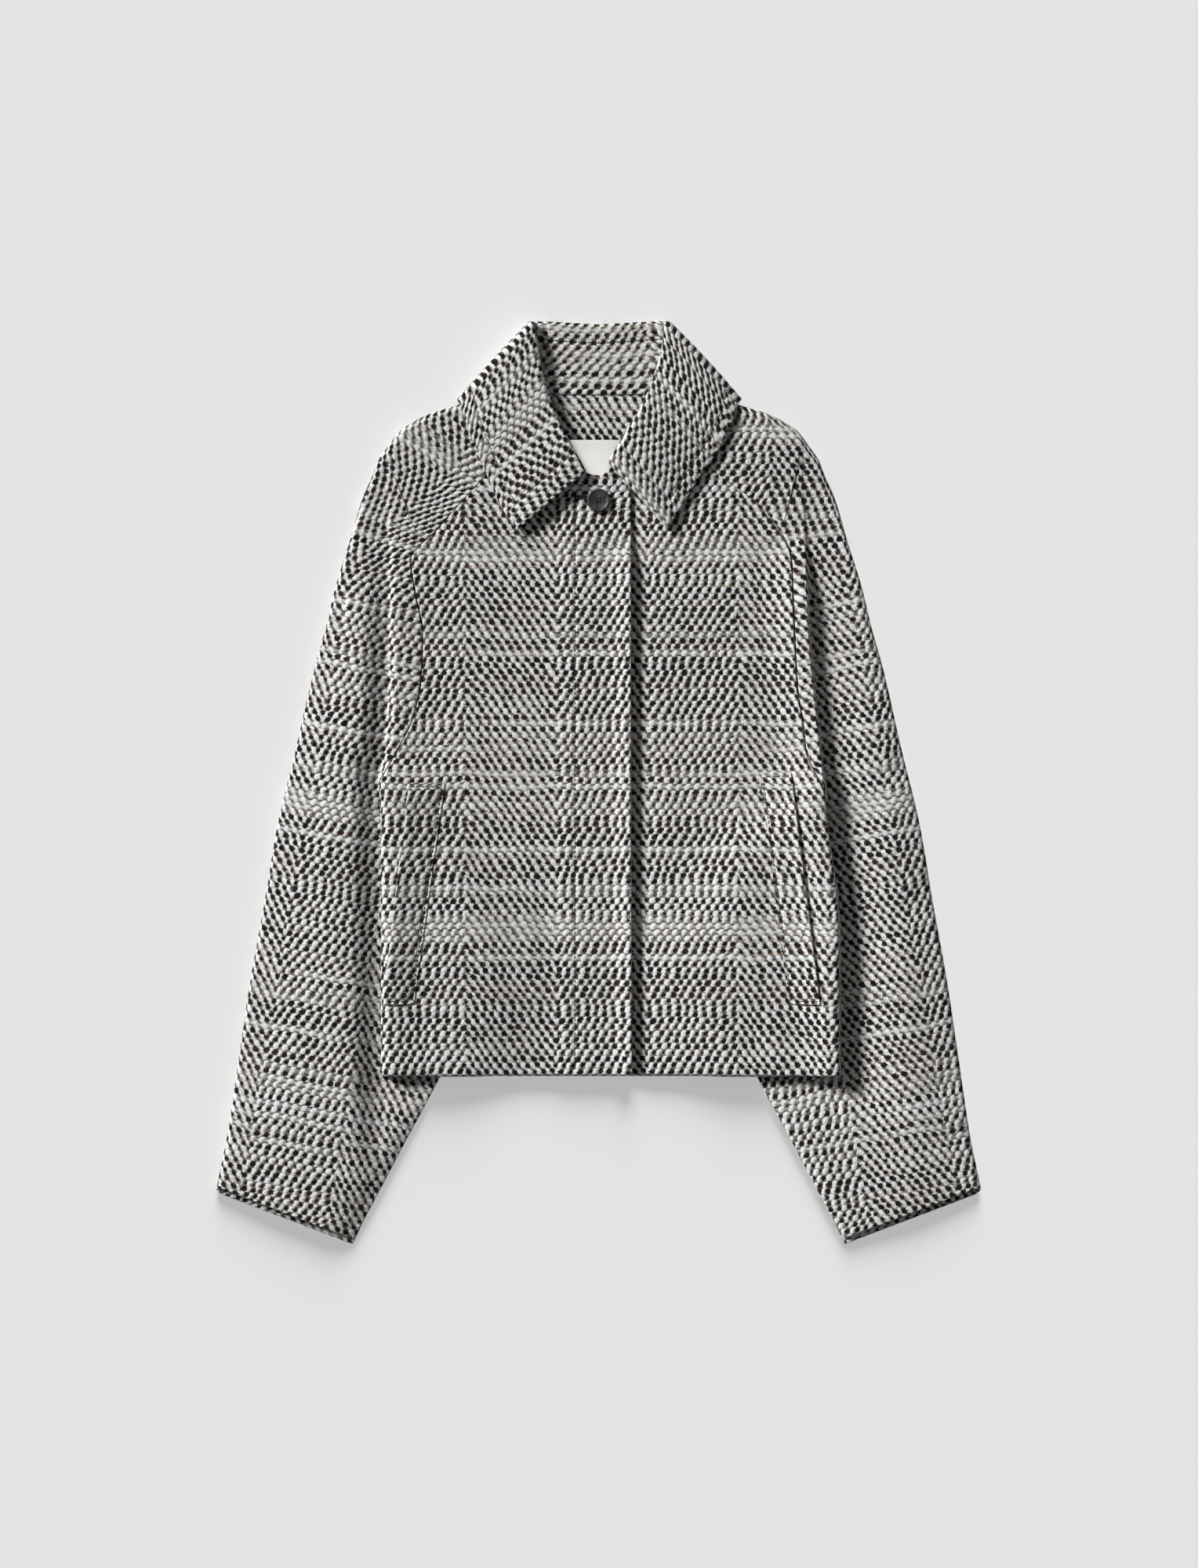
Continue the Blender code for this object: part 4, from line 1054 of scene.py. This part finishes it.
def button_material():
    """Charcoal button, clouded and brushed by wear."""
    made, tree, shader = new_material("button_charcoal", roughness=0.42, specular=0.4, sheen=0.0)
    place = Field(add_node(tree, "TexCoord").outputs["Object"])
    clouds = add_node(tree, "TexNoise", {"Vector": place, "Scale": 260.0, "Detail": 4.0})
    specks = add_node(tree, "TexNoise", {"Vector": place, "Scale": 1500.0, "Detail": 2.0})
    cloudy = Field(clouds.outputs[0]).step(0.35, 0.7)
    speck = Field(specks.outputs[0]).step(0.58, 0.72)
    base = mix(tree, cloudy, BUTTON_DARK, BUTTON_CLOUD)
    feed(shader.inputs["Base Color"], mix(tree, speck * 0.35, base, BUTTON_SPECK))
    feed(shader.inputs["Roughness"], cloudy * 0.15 + 0.36)
    bump(tree, shader, speck * -0.5 + cloudy * 0.3, BUTTON_BUMP)
    return made


# Sewing and trim

STITCH, STITCH_GAP, STITCH_START, THREAD = 3.0, 0.9, 0.4, 0.33
STITCH_SINK, STITCH_DEEP, STITCH_TAPER = 0.6, 1.2, 0.6
STITCH_SIDES, STITCH_RINGS = 6, 5
PATH_STEP = 4.0


def grid_path(grid, rows, columns):
    """Points of a grid at fractional rows and columns, joined straight."""
    rows, columns = np.asarray(rows, float), np.asarray(columns, float)
    row = np.minimum(rows.astype(int), grid.shape[0] - 2)
    column = np.minimum(columns.astype(int), grid.shape[1] - 2)
    down, side = (rows - row)[:, None], (columns - column)[:, None]
    first = grid[row, column] * (1 - side) + grid[row, column + 1] * side
    last = grid[row + 1, column] * (1 - side) + grid[row + 1, column + 1] * side
    return first * (1 - down) + last * down


def thread_ring(centre, side, rise, radius, sides):
    """A ring of points round a thread."""
    angles = np.arange(sides) * 2 * math.pi / sides
    return centre + radius * (np.cos(angles)[:, None] * side + np.sin(angles)[:, None] * rise)


def skin(mesh, rings):
    """A closed body through rings of points."""
    made = [[mesh.verts.new(place) for place in ring] for ring in rings]
    for low, high in zip(made, made[1:]):
        for k in range(len(low)):
            m = (k + 1) % len(low)
            mesh.faces.new((low[k], low[m], high[m], high[k]))
    mesh.faces.new(made[0][::-1])
    mesh.faces.new(made[-1])


def add_stitches(mesh, path):
    """Short lengths of thread along a path, sunk at both ends. On the lowest face they lie underneath."""
    runs = run_along(path, 0)
    for start in np.arange(STITCH_START, runs[-1] - STITCH, STITCH + STITCH_GAP):
        parts = np.linspace(0, 1, STITCH_RINGS)
        places = start + STITCH * parts
        line = np.stack([np.interp(places, runs, path[:, k]) for k in range(3)], axis=-1)
        way = unit(line[-1] - line[0])
        side = unit(np.cross(way, (0.0, 0.0, 1.0)))
        rise = np.cross(side, way)
        if line[:, 2].max() < WALL:
            rise = -rise
        rings = []
        for centre, height in zip(line, np.sin(math.pi * parts)):
            centre = centre + rise * (STITCH_SINK * (height - STITCH_DEEP))
            radius = THREAD * (STITCH_TAPER + (1 - STITCH_TAPER) * height)
            rings.append(thread_ring(centre, side, rise, radius, STITCH_SIDES) * MM)
        skin(mesh, rings)


def bmesh_object(name, mesh, material):
    """An object from a bmesh in metres."""
    bmesh.ops.recalc_face_normals(mesh, faces=mesh.faces)
    data = bpy.data.meshes.new(name)
    mesh.to_mesh(data)
    mesh.free()
    data.shade_smooth()
    data.materials.append(material)
    made = bpy.data.objects.new(name, data)
    bpy.context.scene.collection.objects.link(made)
    return made


def stitching(name, paths, material):
    """All the topstitching of a piece as one object."""
    mesh = bmesh.new()
    for path in paths:
        add_stitches(mesh, path)
    return bmesh_object(name, mesh, material)


def front_path(half, *plan):
    """A path on a front through places given as x and y."""
    line = []
    for (x0, y0), (x1, y1) in zip(plan, plan[1:]):
        count = max(2, int(math.hypot(x1 - x0, y1 - y0) / PATH_STEP))
        parts = np.linspace(0, 1, count)
        x, y = x0 + (x1 - x0) * parts, y0 + (y1 - y0) * parts
        line.append(points(x, y, front_top(half, half.sign * x, y)))
    return np.concatenate(line)


def turned(profile, sides, mesh):
    """Adds a turned body from rows of radius and height."""
    angles = np.arange(sides) * 2 * math.pi / sides
    x, y = np.cos(angles), np.sin(angles)
    skin(mesh, [points(radius * x, radius * y, height) for radius, height in profile])


BUTTON_HOLE, BUTTON_HOLE_OFFSET, BUTTON_HOLE_PAST = 0.75, 1.35, 1.0
BUTTON_SIDES, BUTTON_HOLE_SIDES, BUTTON_SHARP = 96, 24, 50
BUTTON_PROFILE = (
    (8.6, 0.0), (9.3, 0.25), (9.5, 0.9), (9.5, 2.4), (9.35, 3.0), (8.95, 3.4), (8.4, 3.55),
    (7.8, 3.45), (7.2, 3.1), (6.4, 2.8), (5.0, 2.62), (3.0, 2.55), (0.4, 2.53),
)
# Thread in the button: places of the strands in a bar, height over the seat, depth in the holes, radius
STRANDS = (-0.28, 0.0, 0.28)
STRAND_HEIGHT, STRAND_SINK, STRAND_RADIUS = 2.75, 1.6, 0.17


def button_seat():
    """Where the button lies on the left front."""
    return np.array((BUTTON_X, BUTTON_Y, front_top(LEFT, -BUTTON_X, BUTTON_Y) + SEAM_GAP))


def button_object(material):
    """The neck button: a round rim, a shallow dish and four holes."""
    mesh = bmesh.new()
    turned(BUTTON_PROFILE, BUTTON_SIDES, mesh)
    bmesh.ops.scale(mesh, vec=(MM, MM, MM), verts=mesh.verts)
    made = bmesh_object("button_turned", mesh, material)
    holes = bmesh.new()
    hole = ((BUTTON_HOLE, -BUTTON_HOLE_PAST), (BUTTON_HOLE, BUTTON_HEIGHT + BUTTON_HOLE_PAST))
    for x in (-BUTTON_HOLE_OFFSET, BUTTON_HOLE_OFFSET):
        for y in (-BUTTON_HOLE_OFFSET, BUTTON_HOLE_OFFSET):
            start = len(holes.verts)
            turned(hole, BUTTON_HOLE_SIDES, holes)
            holes.verts.ensure_lookup_table()
            bmesh.ops.translate(holes, verts=holes.verts[start:], vec=(x, y, 0.0))
    bmesh.ops.scale(holes, vec=(MM, MM, MM), verts=holes.verts)
    cutter = bmesh_object("button_holes", holes, material)
    cut = made.modifiers.new("holes", "BOOLEAN")
    cut.operation = "DIFFERENCE"
    cut.object = cutter
    whole = made.evaluated_get(bpy.context.evaluated_depsgraph_get())
    made.data = bpy.data.meshes.new_from_object(whole)
    made.modifiers.clear()
    bpy.data.objects.remove(cutter)
    made.data.set_sharp_from_angle(angle=math.radians(BUTTON_SHARP))
    made.location = button_seat() * MM
    return made


def tube(mesh, path, radius, sides=8):
    """A round thread along a path, closed at both ends."""
    rings = []
    for k, centre in enumerate(path):
        way = unit(path[min(k + 1, len(path) - 1)] - path[max(k - 1, 0)])
        guide = (0.0, 0.0, 1.0) if abs(way[2]) < 0.9 else (1.0, 0.0, 0.0)
        side = unit(np.cross(way, guide))
        rings.append(thread_ring(centre, side, np.cross(side, way), radius, sides) * MM)
    skin(mesh, rings)


def button_sewing(material):
    """Thread through the four holes, in two bars."""
    mesh = bmesh.new()
    along = np.linspace(-1, 1, 9)
    y = BUTTON_Y + along * BUTTON_HOLE_OFFSET
    z = button_seat()[2] + STRAND_HEIGHT - STRAND_SINK * soft_step(np.abs(along) * 3 - 2)
    for x in (-BUTTON_HOLE_OFFSET, BUTTON_HOLE_OFFSET):
        for shift in STRANDS:
            tube(mesh, points(BUTTON_X + x + shift, y, z), STRAND_RADIUS)
    return bmesh_object("button_thread", mesh, material)


BUTTONHOLE_LEFT_X, BUTTONHOLE_RIGHT_X, BUTTONHOLE_Y = -18.0, -7.0, 232.5
SLIT_HALF, BUTTONHOLE_HALF = 0.25, 1.7
BAR_PITCH, BAR_RADIUS, BAR_SIDES, BAR_SEAT, BAR_ARCH = 0.62, 0.3, 6, 0.25, 0.35
END_BARS, END_HALF, END_START, END_LENGTH, END_ARCH = 5, 1.2, 0.1, 1.6, 0.3


def bar(mesh, x, y, arch):
    """One bar of thread on the left front, raised in the middle."""
    count = max(np.size(x), np.size(y))
    z = front_top(LEFT, -x, y) + BAR_SEAT + arch * np.sin(np.linspace(0, 1, count) * math.pi)
    tube(mesh, points(x, y, z), BAR_RADIUS, BAR_SIDES)


def buttonhole(material):
    """The end of the buttonhole that shows beside the button: close bars of thread round a slit."""
    mesh = bmesh.new()
    for x in np.arange(BUTTONHOLE_LEFT_X, BUTTONHOLE_RIGHT_X, BAR_PITCH):
        for side in (-1, 1):
            bar(mesh, x, BUTTONHOLE_Y + side * np.linspace(SLIT_HALF, BUTTONHOLE_HALF, 6), BAR_ARCH)
    for y in BUTTONHOLE_Y + np.linspace(-END_HALF, END_HALF, END_BARS):
        bar(mesh, BUTTONHOLE_LEFT_X - np.linspace(END_START, END_LENGTH, 5), y, END_ARCH)
    return bmesh_object("buttonhole_thread", mesh, material)


# Assembly

PLACKET_SEAM_X, PLACKET_SEAM_TOP, PLACKET_SEAM_END = -19.5, 231.0, HEM_Y + 2
# Topstitching, placed by rows and columns of the grids, and the number of points along it
COLLAR_SEAM_IN, COLLAR_SEAM_START = 9, COLLAR_TURN + 4
COLLAR_SEAM_POINTS, COLLAR_END_POINTS = 160, 40
NECK_SEAM_COLUMN, NECK_SEAM_ROWS, NECK_SEAM_POINTS = 19, 34, 40
WELT_SEAM_IN, WELT_SEAM_POINTS, WELT_END_POINTS = 2, 60, 10


def ride(piece, node=None):
    """Fixes a piece to the coat, and hides the solid that it stands for."""
    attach(piece, "root")
    if node:
        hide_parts(node)


def row_path(grid, row, columns):
    """A path along a row of a grid."""
    return grid_path(grid, np.full(len(columns), row), columns)


def column_path(grid, rows, column):
    """A path along a column of a grid."""
    return grid_path(grid, rows, np.full(len(rows), column))


def collar_seams(grid):
    """Topstitching along the collar's outer edge and ends, and along the middle of its stand."""
    last = len(grid) - 1
    ends = (COLLAR_SEAM_IN, last - COLLAR_SEAM_IN)
    edge = grid.shape[1] - COLLAR_SEAM_IN
    columns = np.linspace(COLLAR_SEAM_START, edge, COLLAR_END_POINTS)
    neck = np.linspace(last / 2 - NECK_SEAM_ROWS, last / 2 + NECK_SEAM_ROWS, NECK_SEAM_POINTS)
    return [
        column_path(grid, np.linspace(*ends, COLLAR_SEAM_POINTS), edge),
        *(row_path(grid, row, columns) for row in ends),
        column_path(grid, neck, NECK_SEAM_COLUMN),
    ]


def welt_seams(grid):
    """Topstitching along a welt's inner edge and its two ends."""
    ends = (WELT_SEAM_IN, len(grid) - 1 - WELT_SEAM_IN)
    edge = grid.shape[1] - 1 - WELT_SEAM_IN
    columns = np.linspace(1, edge, WELT_END_POINTS)
    along = column_path(grid, np.linspace(*ends, WELT_SEAM_POINTS), edge)
    return [along, *(row_path(grid, row, columns) for row in ends)]


def dress():
    """Makes every piece of the coat."""
    tweed, thread = tweed_material(), thread_material()
    faces = back_faces()
    cloth = flat_cloth(faces[0], -NECK_STRIPE)
    back = shell("back_cloth", faces, cloth, tweed, coarse=LESS_COARSE)
    ride(back, "back")

    placket_seam = front_path(LEFT, (PLACKET_SEAM_X, PLACKET_SEAM_TOP), (PLACKET_SEAM_X, PLACKET_SEAM_END))
    for half, area, seams in ((LEFT, 0.0928, [placket_seam]), (RIGHT, 0.095, [])):
        faces = front_faces(half)
        cloth = flat_cloth(faces[0], FRONT_STRIPE[half.name])
        front = shell(f"front_{half.name}_cloth", faces, cloth, tweed, seams=seams)
        ride(front, f"front_{half.name}")
    ride(stitching("placket_stitching", [placket_seam], thread))

    for half, area in ((LEFT, 0.157), (RIGHT, 0.153)):
        faces = sleeve_faces(half)
        sleeve = shell(f"sleeve_{half.name}_cloth", faces, sleeve_cloth(half, faces[0]), tweed)
        ride(sleeve, f"sleeve_{half.name}")

    faces = collar_faces()
    seams = collar_seams(faces[0])
    collar = shell("collar_cloth", faces, collar_cloth(faces[0]), tweed, turn=COLLAR_TURN, seams=seams)
    ride(collar, "collar")
    ride(stitching("collar_stitching", seams, thread))

    for half in (LEFT, RIGHT):
        faces = welt_faces(half)
        seams = welt_seams(faces[0])
        cloth = welt_cloth(faces[0])
        welt = shell(f"welt_{half.name}_cloth", faces, cloth, tweed, seams=seams, coarse=LESS_COARSE)
        ride(welt, f"welt_{half.name}")
        ride(stitching(f"welt_{half.name}_stitching", seams, thread))

    faces = label_faces()
    label = shell("label_cloth", faces, flat_cloth(faces[0]), label_material(), relief=0.0)
    ride(label, "label")
    ride(button_object(button_material()), "button")
    ride(button_sewing(thread))
    ride(buttonhole(thread))


# Stage

FRAME_HEIGHT, FRAME_SCALE = 2000, 0.64
FRAME_CENTRE = (0.3, -0.6)
CAMERA_HEIGHT = 2600.0
FLOOR_SIZE = 30.0
FLOOR_COLOUR = (0.78, 0.78, 0.78, 1.0)
WORLD_STRENGTH = 0.135
# Lights: what each shines on, the way that it shines, its strength and its softness in degrees
LIGHTS = {
    "key": ("coat", (0.74, -0.56, -0.56), 4.55, 14.0),
    "inside": ("label", (0.15, -0.15, -1.0), 2.4, 30.0),
    "top": ("floor", (0.0, -0.93, -0.37), 3.2, 26.0),
    "above": ("floor", (0.0, 0.0, -1.0), 1.48, 8.0),
}


def floor():
    """A plain pale floor under the coat."""
    made, tree, shader = new_material("floor", roughness=0.9, specular=0.0, sheen=0.0)
    shader.inputs["Base Color"].default_value = FLOOR_COLOUR
    mesh = bmesh.new()
    bmesh.ops.create_grid(mesh, x_segments=1, y_segments=1, size=FLOOR_SIZE / 2)
    ground = bmesh_object("floor", mesh, made)
    return ground


def light(coat, ground):
    """Soft light on the coat from the upper left, on the label and floor from above, and an even sky."""
    label = bpy.data.objects["label_cloth"]
    groups = {"coat": [piece for piece in coat if piece is not label], "label": [label], "floor": [ground]}
    receivers = {name: bpy.data.collections.new(name) for name in groups}
    for name, members in groups.items():
        for piece in members:
            receivers[name].objects.link(piece)
    for name, (receiver, (x, y, z), strength, softness) in LIGHTS.items():
        data = bpy.data.lights.new(name, "SUN")
        data.energy = strength
        data.angle = math.radians(softness)
        lamp = bpy.data.objects.new(name, data)
        lamp.rotation_euler = (math.atan2(math.hypot(x, y), -z), 0.0, math.atan2(y, x) - math.pi / 2)
        lamp.light_linking.receiver_collection = receivers[receiver]
        bpy.context.scene.collection.objects.link(lamp)
    world = bpy.data.worlds.new("sky")
    world.use_nodes = True
    world.node_tree.nodes["Background"].inputs["Color"].default_value = (1.0, 1.0, 1.0, 1.0)
    world.node_tree.nodes["Background"].inputs["Strength"].default_value = WORLD_STRENGTH
    bpy.context.scene.world = world


def camera():
    """A camera straight above, with the height of the photo's frame in pixels times their size."""
    data = bpy.data.cameras.new("camera")
    made = bpy.data.objects.new("camera", data)
    made.location = np.array((*FRAME_CENTRE, CAMERA_HEIGHT)) * MM
    data.lens = data.sensor_width * CAMERA_HEIGHT / (FRAME_HEIGHT * FRAME_SCALE)
    bpy.context.scene.collection.objects.link(made)
    bpy.context.scene.camera = made


dress()
pieces = [piece for piece in bpy.context.scene.objects if piece.type == "MESH"]
light(pieces, floor())
camera()
bpy.context.scene.view_settings.view_transform = "Standard"
